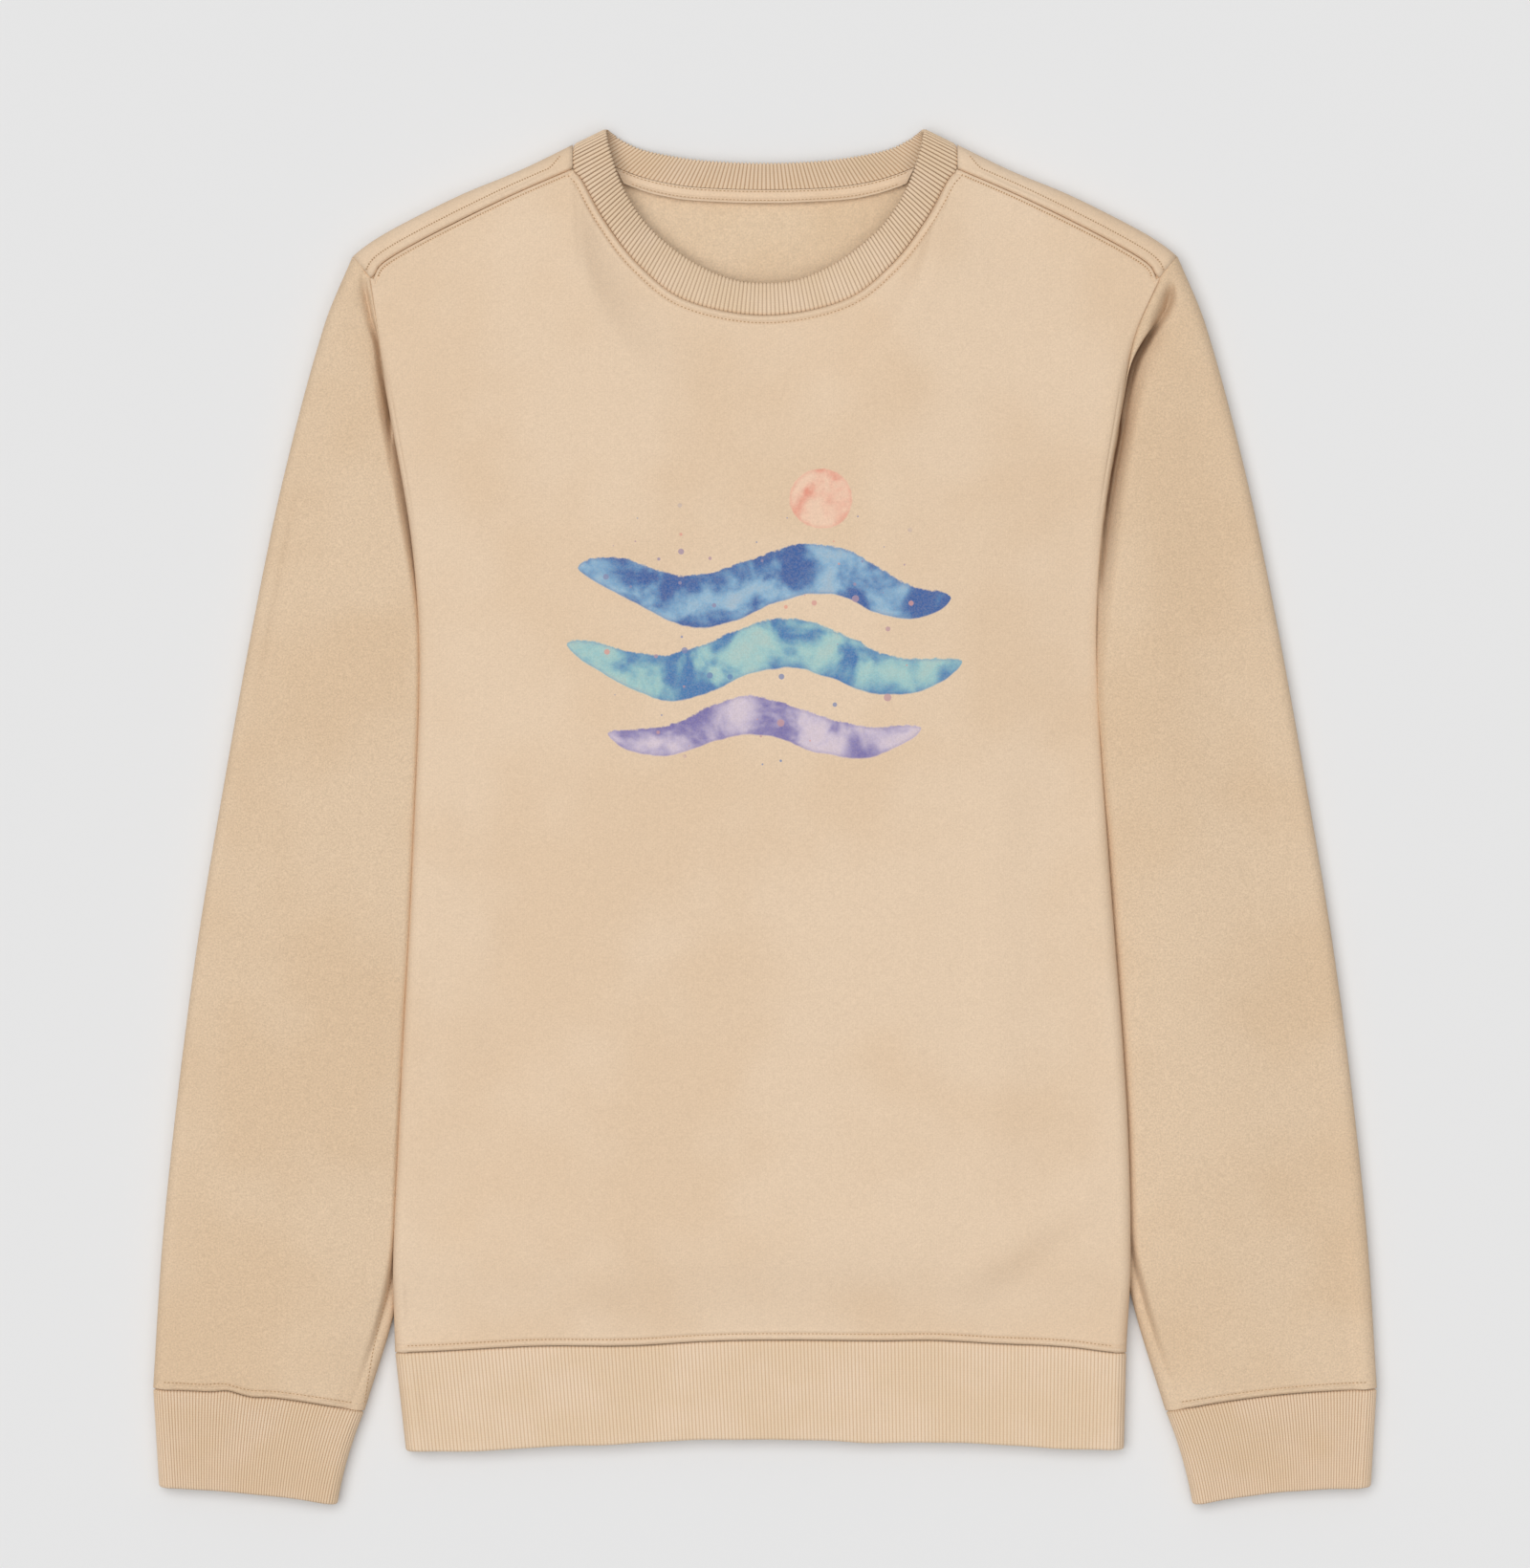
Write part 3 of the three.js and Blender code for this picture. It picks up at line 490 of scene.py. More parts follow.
# Front of the body: the chest, both side folds and the sides that are turned under
def body_front():
    main, fold_steps, turn_steps = np.linspace(0, 1, 225), 32, 18
    fold_at = np.arange(1, fold_steps + 1) / fold_steps
    turn_at = np.arange(1, turn_steps + 1) / turn_steps
    v = graded(BODY_LENGTH, 0.55, 3.3, 9)
    low_y = hem_seam_y(HEM_SEAM_HALF) + GAP
    corner, hem_fold = SideFold(SHOULDER_END_Y), SideFold(low_y)
    seam_end = [float(corner.centre), SHOULDER_END_Y]
    shoulder = Curve([list(neck_corner)] + SHOULDER_SEAM[1:] + [seam_end])

    # Upper border, in equal parts: those on the neckline, and those on each shoulder
    neck_parts, shoulder_parts = 16, 6
    part = main * (neck_parts + 2 * shoulder_parts) - shoulder_parts
    on_neck = (part >= 0) & (part <= neck_parts)
    neck_s = mix(front_neck.corner, 1 - front_neck.corner, clamp01(part / neck_parts))
    neck_at = front_neck.seam.at(neck_s)
    outward = np.where(part < 0, -part, part - neck_parts) / shoulder_parts
    seam_at = shoulder.at(clamp01(outward))
    seam_x = np.sign(part) * seam_at[:, 0] + corner.middle * outward
    tx = np.where(on_neck, neck_at[:, 0], seam_x)
    ty = np.where(on_neck, neck_at[:, 1], seam_at[:, 1])
    rise = ease(np.abs(2 * part / neck_parts - 1))
    tz = np.where(on_neck, mix(NECKLINE_TOP, SHOULDER_TOP, rise), SHOULDER_TOP)

    across = 2 * main - 1
    bx = hem_fold.middle + hem_fold.centre * across
    by = hem_seam_y(bx) + GAP
    corner_x = corner.middle + corner.centre * across
    grids = [], [], []
    for t in v:
        side_y = mix(low_y, SHOULDER_END_Y, t)
        fold = SideFold(side_y)
        x = mix(bx, tx, t) + fold.middle + fold.centre * across - mix(bx, corner_x, t)
        y = mix(by, ty, t)
        full = fold.top + BODY_CROWN * ease(fold.centre * (1 - np.abs(across)) / CROWN_RUN)
        z = np.minimum(
            mix(mix(tz, fold.top, across**8), full, puff((1 - t) * (ty - by) / 60)),
            mix(HEM_SEAM_TOP, full, puff(t * (ty - by) / 45)),
        )
        angle = np.radians(mix(90, fold.end, fold_at))
        seam = 0.55 * bell((fold.radius * (1 - np.cos(angle)) - 2.4) / 0.5) * (angle > 0)
        seam = seam * ease((side_y - 150) / 40) * ease((238 - side_y) / 20)
        depth = mix(fold.radius, TURN_UNDER, turn_at)
        seam_top = mix(ARMHOLE_Y + 1, SIDE_SEAM_TOP, (depth - 1.5) / (TURN_UNDER - 1.5)) - GAP
        turned = clamp01((side_y - low_y) / (FOLD_Y - low_y))
        under_z = fold.lift * (1 - ease((depth - RAMP_START) / (RAMP_END - RAMP_START)))
        along = fold_at * np.radians(90 - fold.end) * fold.radius
        along = np.concatenate([along, along[-1] + depth - fold.radius])
        ends = []
        for side in (-1, 1):
            reach = points(side * np.cos(angle), 0, np.sin(angle))
            middle = [fold.middle + side * fold.centre, side_y, fold.height]
            under_x = fold.middle + side * (fold.centre + fold.radius - depth)
            under_y = mix(hem_seam_y(under_x) + GAP, np.minimum(FOLD_Y, seam_top), turned)
            faces = [
                np.concatenate([middle + radius * reach, points(under_x, under_y, level)])
                for radius, level in (
                    ((fold.radius - seam)[:, None], under_z), (fold.radius - CLOTH, under_z + CLOTH),
                )
            ]
            edge_x = x[-1] if side > 0 else x[0]
            ends.append(faces + [np.stack([edge_x + side * along, 0 * along + side_y], axis=1)])
        chest = points(x, y, z), points(x, y, z - CLOTH), np.stack([x, y], axis=1)
        for grid, left, front, right in zip(grids, ends[0], chest, ends[1]):
            grid.append(np.concatenate([left[::-1], front, right]))
    outer, inner, uv = (np.array(grid) for grid in grids)
    keep = np.ones((len(v) - 1, outer.shape[1] - 1), bool)
    folded = np.flatnonzero(mix(low_y, SHOULDER_END_Y, v) <= FOLD_Y)[-1]
    keep[folded:, :turn_steps] = False
    keep[folded:, -turn_steps:] = False

    x, y = outer[..., 0], outer[..., 1]
    lean, under = np.cos(fold_at * math.pi / 2) ** 2, np.zeros(turn_steps)
    top = np.concatenate([under, lean[::-1], np.ones(len(main)), lean, under])
    near_ends = ease(v * BODY_LENGTH / 25) * ease((1 - v) * BODY_LENGTH / 25)
    slow = 0.35 * waves(x, y, (140, 95, 120, 70, 82), 4) * near_ends[:, None]
    soft = pressed(BODY_FOLDS, x, y) + slow
    fine = above_rib(y - hem_seam_y(x), x, (23, 17, 31), 8)
    chest, upper = (y > 240) & (np.abs(x) < 135), y > 270
    fine[chest] += seam_relief(distance_to(neck_seam_line, x[chest], y[chest]), NECK_STITCH)
    for side in (-1, 1):
        line = shoulder.at(np.linspace(0, 1, 60)) * [side, 1]
        away = distance_to(line, x[upper], y[upper])
        fine[upper] += seam_relief(away, SHOULDER_STITCH, 0.45, 1.9)
    outer[..., 2] += (soft + fine) * top
    inner[..., 2] += soft * top
    return layer("body_front", outer, inner, uv, keep)


# Fold along each shoulder, where the back comes forward to the seam on the front
shoulder_fold = Curve(SHOULDER_LINE)
fold_end = [float(SideFold(SHOULDER_END_Y).centre), SHOULDER_END_Y]
shoulder_seam = Curve(list(Curve(SHOULDER_SEAM + [fold_end]).line[::80]) + [ARMHOLE_CORNER])


def shoulder_section(s):
    seam, line = shoulder_seam.at(s), shoulder_fold.at(s)
    out = unit(line - seam)
    return seam, out, line - out * SHOULDER_FOLD / 2


# Sleeve section at v, from 0 at the shoulder point to 1 at the cuff
class SleeveSection:
    def __init__(self, v, side):
        outer_y = mix(301, CUFF_SEAM_OUTER[1] + GAP, v)
        inner_y = mix(ARMHOLE_Y, CUFF_SEAM_INNER[1] + GAP, v)
        lean = side * follow(BODY_MIDDLE, inner_y) * ease((inner_y + 262) / 60)
        outer = np.array([follow(SLEEVE_OUTER, outer_y), outer_y])
        inner = np.array([follow(SLEEVE_INNER, inner_y) + lean, inner_y])
        across = unit(outer - inner)
        tip = shoulder_section(1)[1]
        self.out = unit(mix(tip, across, ease(v / 0.12)))
        self.back = unit(mix(np.array([-0.95, 0.3]), -across, ease(v / 0.2)))
        self.outer_radius = mix(SHOULDER_FOLD, SLEEVE_OUTER_FOLD, ease(v / 0.15)) / 2
        self.loose = ease((v - 0.87) / 0.13)
        self.top = SLEEVE_TOP - SLEEVE_LOW_END * ease((v - 0.75) / 0.25)
        self.inner_radius = mix(SLEEVE_TUCKED, CUFF_HEIGHT - 1, self.loose) / 2
        self.start = outer - self.out * self.outer_radius
        self.end = inner - self.back * self.inner_radius


SHOULDER_POINT = [301, 221.8]


def body_edge(y, side):
    above = follow([SHOULDER_POINT] + BODY_HALF, y)
    half = np.where(y > SHOULDER_END_Y, above, follow(BODY_HALF, y))
    return half + side * follow(BODY_MIDDLE, y)


def armhole_seam(q, side):
    first = SleeveSection(0, side)
    y = mix(first.start[1], first.end[1], q)
    fold = SideFold(np.minimum(y, SHOULDER_END_Y))
    x = mix(first.start[0], body_edge(y, side), ease(q / 0.1))
    x = mix(x, first.end[0], ease((q - 0.85) / 0.15))
    z = fold.height + fold.radius * np.sin(np.radians(fold.end))
    return x + 2 * GAP, y - GAP, mix(SHOULDER_FOLD, z, ease(q / 0.15))


# Seam allowance, turned in under the body and the shoulder along the armhole
ALLOWANCE = 4.5
ALLOWANCE_DROP = 2.8
ALLOWANCE_ROWS = 3


# Roll of the sleeve head beside the armhole seam and the crease beyond it: the relief, how far the
# cloth runs in under the body, and the shade painted into its colour
def armhole_relief(x, y, side):
    beyond = x - body_edge(y, side)
    gap = follow(ARMHOLE_CREASE[side], y) - body_edge(y, side)
    gap = np.maximum(gap, mix(0.1, 0.9, ease((y - 130) / 60)))
    lower = ease((CREASE_TURN[0] - y) / CREASE_TURN[1])
    sewn = ease((y - SEAM_FADE[0]) / SEAM_FADE[1])
    end, run_out = CREASE_END[side]
    ends = ease((y - end) / run_out) * ease((CREASE_TOP[0] - y) / CREASE_TOP[1])
    steep = mix(CREASE_NEAR[side], np.minimum(1.1, 0.4 * gap), ease((272 - y) / 12))
    soft_width, deep_width = CREASE_WIDTH[side]
    width = mix(soft_width, mix(CREASE_SLIT, deep_width, ease((y - 215) / 28)), lower)
    away, broad = np.abs(beyond - gap), FAR_SHARE[side]
    near, far = away / steep, away / width
    near_wall = mix(np.exp(-(near**1.3)), bell(near), lower)
    deep_wall = (1 - broad) * np.exp(-(far**4)) + broad * bell(far / 2.6)
    sunk = np.where(beyond < gap, near_wall, mix(np.exp(-(far**1.3)), deep_wall, lower))
    roll = CREASE_ROLL[side] * ease(gap / 5) * np.sin(math.pi * clamp01(beyond / gap))
    relief = roll - mix(*CREASE_DEPTH[side], lower) * ends * sunk - 0.7 * bell(beyond / 0.7) * sewn
    undercut = np.minimum(CREASE_UNDERCUT[side], 0.6 * gap + 1.2) * ease(beyond / 1.5)
    # Painted shade: how much the crease's colour is darkened where shade falls in it
    shade = mix(*CREASE_PAINTED_SHADE[side], lower) * sunk**1.5 * ends
    return relief, undercut * lower * sewn * sunk, shade


def cuff_rise(side, q):
    bow = CUFF_RISE[side][0] * 4 * q * (1 - q)
    kink = 1.3 * bell((q - 0.33) / 0.06) - 0.9 * bell((q - 0.47) / 0.07)
    return bow + (kink if side < 0 else 0)


def sleeve(side, name):
    fold_steps, under_steps = 12, 36
    v = graded(SLEEVE_LENGTH, 0.7, 3.6, 20)
    q = np.concatenate([np.linspace(0, 0.88, 64), np.linspace(0.88, 1, 23)[1:]])
    back_q = np.linspace(1, 0, under_steps + 1)[1:-1]
    sewn = fold_steps + len(q)
    quarter = math.pi / 2
    opening = np.linspace(-quarter, quarter, fold_steps + 1)[:-1]
    closing = np.linspace(quarter, -quarter, fold_steps + 1)[1:]
    underarm = Curve(UNDERARM_SEAM).line
    seam = armhole_seam(q, side)
    first = SleeveSection(0, side)
    step, high_run, low_run, crown_run, high_end = SLEEVE_STEP[side]
    settled = mix(1 / 14, 1 / 40, q**4)
    outer, inner, uv = [], [], []
    for t in v:
        plan = SleeveSection(t, side)
        r, s = plan.outer_radius, plan.inner_radius
        width = np.linalg.norm(plan.start - plan.end)
        x, y = (
            mix(plan.start[n], plan.end[n], q)
            + (1 - t) ** 6 * (seam[n] - mix(first.start[n], first.end[n], q)) for n in (0, 1)
        )
        y = y + ease((t - 0.8) / 0.2) * cuff_rise(side, q)
        beyond = x - body_edge(y, side)
        upper = ease((y - high_end) / 90)
        rising = ease((beyond + mix(SLEEVE_CONTACT, 1, upper)) / mix(low_run, high_run, upper))
        clear = step * rising + (1 - step) * ease((beyond + 5) / 38)
        clear = mix(clear, ease(((1 - q) * width + 4) / 32), plan.loose)
        rise = mix(2 * r - 2 * s, plan.top - 2 * s, ease(q * width / crown_run))
        section = 2 * s + clear * rise
        before_cuff = mix(CUFF_SEAM_TOP, section, puff((1 - t) * 15.5))
        z = np.minimum(section, np.maximum(2 * s, before_cuff))
        z = mix(seam[2], z, ease(t / settled))
        z = mix(z, 2 * r, bell(q * width / 2.5))
        z = mix(z, 2 * s, bell((1 - q) * width / 2.5))
        relief, undercut, shade = armhole_relief(x, y, side) if y[-1] > 90 else (0 * x, 0, 0)
        above_cuff = (1 - t) * SLEEVE_TO_CUFF
        if side < 0 and y.min() < UNDERARM_SEAM[-1][1] + 10:
            d = distance_to(underarm, x, y)
            relief += 0.35 * bell((d - 1.6) / 1.1) - 0.75 * bell(d / 0.6)
        calm = ease(t * 15) * ease(above_cuff / 25)
        relief += above_rib(above_cuff, x, (19, 13, 27), 5 + side)
        relief += 0.4 * waves(x, y, (90, 60, 110, 75), 20 + side) * calm
        relief += pressed(SLEEVE_FOLDS[side], side * x, y)
        inside = ease(q * width / 6) * ease((1 - q) * width / 6)
        z = np.maximum(z + relief * inside, SLEEVE_LEAST)
        x = x - undercut
        under_x, under_y = np.interp(back_q, q, x), np.interp(back_q, q, y)
        for grid, k in ((outer, 0), (inner, CLOTH)):
            grid.append(np.concatenate([
                round_fold(plan.start, plan.out, r, r - k, opening), points(x, y, z - k),
                round_fold(plan.end, plan.back, s, s - k, closing), points(under_x, under_y, k),
            ]))
        lengths = np.concatenate([
            (opening - quarter) * r, q * width, width + (quarter - closing) * s,
            width + np.pi * s + (1 - back_q) * width,
        ])
        # Painted shade of the crease, carried in the third uv coordinate
        dark = np.zeros(len(lengths))
        dark[fold_steps:sewn] = shade * inside
        uv.append(points(lengths, -t * SLEEVE_LENGTH, dark))
    outer, inner, uv = np.array(outer), np.array(inner), np.array(uv)
    to_body = np.gradient(outer[0, fold_steps:sewn, :2], axis=0) @ np.array([[0, -1], [1, 0]])
    to_body /= np.linalg.norm(to_body, axis=1)[:, None]
    inward = np.array([*first.start, first.outer_radius]) - outer[0, :fold_steps]
    inward /= np.linalg.norm(inward, axis=1)[:, None]
    turn = np.zeros(outer[0].shape)
    turn[:sewn, :2] = np.concatenate([np.repeat(to_body[:1], fold_steps, axis=0), to_body]) * ALLOWANCE
    turn[:fold_steps] += inward * ALLOWANCE_DROP
    turn[fold_steps:sewn, 2] = -ALLOWANCE_DROP
    turn[fold_steps:sewn] *= ease((1 - q) / 0.2)[:, None]
    shares = (np.arange(ALLOWANCE_ROWS, 0, -1) / ALLOWANCE_ROWS)[:, None, None]
    outer, inner = (
        np.concatenate([grid[0] + shares * turn, grid]) * [side, 1, 1] for grid in (outer, inner)
    )
    uv = np.concatenate([np.repeat(uv[:1], ALLOWANCE_ROWS, axis=0), uv])
    keep = np.ones((len(uv) - 1, uv.shape[1]), bool)
    keep[:ALLOWANCE_ROWS, sewn - 1:] = False
    return layer(name, outer, inner, uv, keep, ring=True)


# Back of the body: flat on the floor, then up and over each shoulder fold to the seam
def body_back():
    per_shoulder, across_neck, rows = 34, 96, 130
    fold_rows, flat_rows = 16, 14

    def at_depth(depth, y, side):
        fold = SideFold(y)
        return fold.middle * side + fold.centre + fold.radius - depth

    def edge(side):
        low = at_depth(TURN_UNDER, HEM_SEAM_Y, side)
        ys = np.linspace(hem_seam_y(low) + GAP, SIDE_SEAM_TOP, 60)
        way = [[at_depth(TURN_UNDER + GAP, y, side), y] for y in ys]
        way.append([at_depth(4, ARMHOLE_Y, side), ARMHOLE_Y])
        for q in (0.8, 0.65, 0.5, 0.35, 0.2):
            x, y, _ = armhole_seam(q, side)
            way.append([float(x) - 3 * GAP, float(y) + GAP])
        way.append(list(shoulder_section(0.997)[2]))
        way = np.array(way, float) * [side, 1]
        run = run_along(way)
        return place_at(way, run, np.linspace(0, run[-1], rows + 1))

    left, right = edge(-1), edge(1)
    s = np.linspace(0.997, 0.003, per_shoulder)
    sections = [shoulder_section(k) for k in s]
    centres = np.array([c for _, _, c in sections])
    span = np.linspace(back_neck.corner, 1 - back_neck.corner, across_neck)
    neck = back_neck.seam.at(span) - [0, GAP]
    top = np.concatenate([centres * [-1, 1], neck, centres[::-1]])
    cols = len(top)
    u = run_along(top)
    u = (u / u[-1])[None, :, None]
    bottom_x = mix(left[0, 0], right[0, 0], u[0, :, 0])
    bottom = np.stack([bottom_x, hem_seam_y(bottom_x) + GAP], axis=1)
    v = np.linspace(0, 1, rows + 1)[:, None, None]
    flat = (
        (1 - v) * bottom[None] + v * top[None] + (1 - u) * left[:, None] + u * right[:, None]
        - (1 - u) * (1 - v) * left[0] - u * (1 - v) * right[0]
        - (1 - u) * v * left[-1] - u * v * right[-1]
    )
    x, y = flat[..., 0], flat[..., 1]
    inside = ease((y - 200) / 60) * ease((118 - np.abs(x)) / 40)
    lifted = inside * (0.8 + 0.8 * waves(x, y, (60, 85, 48), 14)) * ease((340 - y) / 20)
    outer = np.zeros((rows + 1 + fold_rows + flat_rows, cols, 3))
    inner = np.zeros_like(outer)
    outer[:rows + 1] = points(x, y, 0 * x)
    inner[:rows + 1] = points(x, y, CLOTH + np.maximum(lifted, 0))
    uv = np.zeros(outer.shape[:2] + (2,))
    uv[:rows + 1] = flat
    r = SHOULDER_FOLD / 2
    bend = np.linspace(-np.pi / 2, np.pi / 2, fold_rows + 1)[1:]
    for i in range(cols):
        if per_shoulder <= i < cols - per_shoulder:
            for grid in (outer, inner):
                grid[rows + 1:, i] = grid[rows, i]
            continue
        side = -1 if i < per_shoulder else 1
        seam, out, centre = sections[i if side < 0 else cols - 1 - i]
        start = seam + out * GAP
        way = mix(centre, start, (np.arange(1, flat_rows + 1) / flat_rows)[:, None])
        relief = seam_relief(np.linalg.norm(way - start, axis=1), STRIP_STITCH, 0.5, 1.0)
        for grid, depth, raised in ((outer, 0, relief), (inner, CLOTH, -CLOTH)):
            grid[rows + 1:, i] = np.concatenate([
                round_fold(centre, out, r, r - depth, bend),
                points(way[:, 0], way[:, 1], SHOULDER_FOLD + raised),
            ]) * [side, 1, 1]
        run = np.concatenate([
            bend * r + np.pi / 2 * r, np.pi * r + np.linalg.norm(way - centre, axis=1),
        ])
        uv[rows + 1:, i] = uv[rows, i] + run[:, None] * out * [side, 1]
    keep = np.ones((outer.shape[0] - 1, cols - 1), bool)
    keep[rows:, per_shoulder - 1:cols - per_shoulder] = False
    return layer("body_back", outer, inner, uv, keep)


# Depth of the groove between ribs at a place along them, counted in ribs
def groove(ribs, depth):
    return depth * np.abs(2 * (ribs - np.floor(ribs)) - 1) ** 4


# How far a doubled edge rounds in towards its middle, at distance d from the edge
def rounded(d, thickness):
    r = thickness / 2
    return r - np.sqrt(np.maximum(r * r - (r - np.minimum(d, r)) ** 2, 0))


# A flat ribbed tube, from the seam to its free edge. edges(t) gives its side edges in plan and its
# fold radius, and rise(t, x, q) how far it bows between them
def rib_tube(name, length, pitch, depth, edges, rise, patches, seed):
    start, end, radius = edges(0)
    flat = np.linalg.norm(end - start) - 2 * radius
    bend = math.pi * radius
    cols = round((2 * flat + 2 * bend) / pitch) * STEPS_PER_RIB
    run = np.arange(cols) / cols * (2 * flat + 2 * bend)
    part = np.searchsorted([flat, flat + bend, 2 * flat + bend], run, side="right")
    top, turn, low, back = (part == k for k in range(4))
    q = np.where(top, run / flat, np.where(low, 1 - (run - flat - bend) / flat, 0))
    angle = np.pi / 2 - np.pi * (run - flat) / bend
    angle[back] = np.pi * (run[back] - 2 * flat - bend) / bend - np.pi / 2
    d = np.concatenate([
        np.arange(0, 3, 0.45), np.arange(3.2, length - 2.4, 2.6), length - np.array(EDGE_STEPS),
    ])
    ribs_at = np.arange(cols) / STEPS_PER_RIB
    cut = groove(ribs_at, depth * pitch)
    outer = np.zeros((len(d), cols, 3))
    inner = np.zeros((len(d), cols, 3))
    for j, k in enumerate(d):
        t = k / length
        start, end, r = edges(t)
        along = unit(end - start)
        a, b = start + along * r, end - along * r
        x, y = (a + q[:, None] * (b - a)).T
        y = y + rise(t, x, q)
        a, b = a + [0, rise(t, a[0], 0.0)], b + [0, rise(t, b[0], 1.0)]
        soft = pressed(patches, x, y) + 0.35 * waves(x, y, (70, 45, 90), seed) * ease(k / 12)
        soft *= ease(np.minimum(q, 1 - q) * flat / 8)
        y = y + 0.3 * waves(x, 0, (37, 23, 61), seed + 1) * ease(2 * t - 1)
        edge_in = rounded(length - k, RIB)
        at_seam = 1.5 * bell(k / 0.8)
        for grid, sunk in ((outer, cut + at_seam + edge_in), (inner, RIB - 0.5 * cut - edge_in)):
            away = r - sunk
            grid[j] = points(x, y, np.where(top, r + away + soft, r - away))
            for side, centre, way in ((turn, b, along), (back, a, -along)):
                grid[j, side] = round_fold(centre, way, r, away[side], angle[side])
    uv = np.stack(np.broadcast_arrays(ribs_at[None, :], d[:, None]), axis=-1)
    return layer(name, outer, inner, uv, ring=True)


def cuff(side, name):
    def edges(t):
        start = mix(np.array(CUFF_SEAM_OUTER), np.array(CUFF_END_OUTER), t)
        end = mix(np.array(CUFF_SEAM_INNER), np.array(CUFF_END_INNER), t)
        end = end + [CUFF_BOW * 4 * t * (1 - t), 0]
        return start * [side, 1], end * [side, 1], CUFF_HEIGHT / 2

    def rise(t, x, q):
        return mix(cuff_rise(side, q), CUFF_RISE[side][1] * 4 * q * (1 - q), ease(t))
    return rib_tube(name, CUFF_LENGTH, CUFF_PITCH, CUFF_GROOVE, edges, rise, CUFF_FOLDS, 31 + side)


def hem_band():
    def edges(t):
        half = mix(HEM_SEAM_HALF, HEM_EDGE_HALF, t)
        middle = mix(follow(BODY_MIDDLE, HEM_SEAM_Y - HEM_SEAM_DROP), 0, t)
        y = mix(HEM_SEAM_Y - HEM_SEAM_DROP, HEM_EDGE_Y - HEM_EDGE_DROP, t)
        return np.array([middle - half, y]), np.array([middle + half, y]), HEM_HEIGHT / 2

    def rise(t, x, q):
        seam = hem_seam_y(x) - HEM_SEAM_Y + HEM_SEAM_DROP
        edge = HEM_EDGE_DROP * 4 * q * (1 - q) - dips(HEM_EDGE_DIPS, x)
        return mix(seam, edge, ease(t))
    return rib_tube("hem_rib", HEM_LENGTH, HEM_PITCH, HEM_GROOVE, edges, rise, HEM_FOLDS, 41)


# Collar: a ribbed band folded at the shoulders. heights(middle, q) is the height of its outer
# face, where middle goes from 0 at a shoulder to 1 in the middle, and q from the seam to the
# free edge; up is 1 at the front and -1 at the back
def collar_band(name, path, up, heights):
    ribs = round(path.length / COLLAR_PITCH)
    r = SHOULDER_FOLD / 2
    fold_steps = 44
    flat_s = np.linspace(r / path.length, 1 - r / path.length, ribs * STEPS_PER_RIB)
    q = np.concatenate([
        np.arange(0, 2.4, 0.4) / COLLAR_WIDTH, np.linspace(0.16, 0.86, 9),
        1 - np.array(EDGE_STEPS[1:]) / COLLAR_WIDTH,
    ])
    cols = len(flat_s) + 2 * fold_steps
    outer = np.zeros((len(q), cols, 3))
    inner = np.zeros((len(q), cols, 3))
    at_rib = np.zeros(cols)

    def lane(s):
        seam, edge = path.seam.at(s), path.edge.at(s)
        share = mix(GAP / np.linalg.norm(edge - seam), 1, q[:, None])
        return seam * (1 - share) + edge * share

    tip, inside = lane(0), lane(r / path.length)
    inward = (inside - tip) / r
    edge_in = rounded((1 - q) * COLLAR_WIDTH, RIB)
    dip = (0.9 if up > 0 else 0.5) * bell(q * COLLAR_WIDTH / 0.8)
    for i in range(cols):
        f = min(i, cols - 1 - i)
        if f < fold_steps:
            side = 1 if i < cols / 2 else -1
            angle = math.radians(up * mix(2, 90, f / fold_steps))
            from_tip = r - math.pi / 2 * r * (1 - f / fold_steps)
            at_rib[i] = (from_tip if side > 0 else path.length - from_tip) / COLLAR_PITCH
            cut = groove(at_rib[i], END_GROOVE * COLLAR_GROOVE * COLLAR_PITCH)
            reach = r - GAP / 2
            for grid, k in (
                (outer, reach - cut - dip - edge_in), (inner, reach - RIB + 0.5 * cut + edge_in),
            ):
                fold = round_fold(inside.T, -inward.T, r + up * GAP / 2, k, angle)
                grid[:, i] = fold * [side, 1, 1]
            continue
        s = flat_s[i - fold_steps]
        place = lane(s)
        at_rib[i] = s * path.length / COLLAR_PITCH
        middle = 1 - abs(2 * s - 1)
        calm = mix(END_GROOVE, MIDDLE_GROOVE, ease(middle / 0.85)) if up > 0 else END_GROOVE
        cut = groove(at_rib[i], COLLAR_GROOVE * COLLAR_PITCH * calm)
        notch = (0.5 if up > 0 else 1.3) * (2 * (at_rib[i] % 1) - 1) ** 2
        x, y = (place - unit(place[-1] - place[0]) * (notch * q**8)[:, None]).T
        level = heights(middle, q) + 0.3 * ease(middle / 0.12) * waves(x, y, (50, 33, 70), 51 + up)
        outer[:, i] = points(x, y, np.maximum(level - up * (cut + dip + edge_in), 0))
        inner[:, i] = points(x, y, level - up * (RIB - 0.5 * cut - edge_in))
    from_middle = at_rib - round(ribs / 2)
    uv = np.stack(np.broadcast_arrays(from_middle[None, :], (q * COLLAR_WIDTH)[:, None]), axis=-1)
    return layer(name, outer, inner, uv)


def collar_front():
    def heights(middle, q):
        at_seam = mix(SHOULDER_FOLD, NECKLINE_TOP - 1, ease(middle / 0.4))
        at_edge = mix(SHOULDER_FOLD, COLLAR_INNER_TOP, ease(middle / 0.5))
        return mix(at_seam, at_edge, q) + COLLAR_ROLL * np.sin(np.pi * q) * ease(middle / 0.3)
    return collar_band("collar_front_rib", front_neck, 1, heights)


def collar_back():
    def heights(middle, q):
        return COLLAR_BACK_TILT * q * ease(middle / 0.5) + 0.3
    return collar_band("collar_back_rib", back_neck, -1, heights)


tape_edge = Curve(mirrored(TAPE_EDGE))

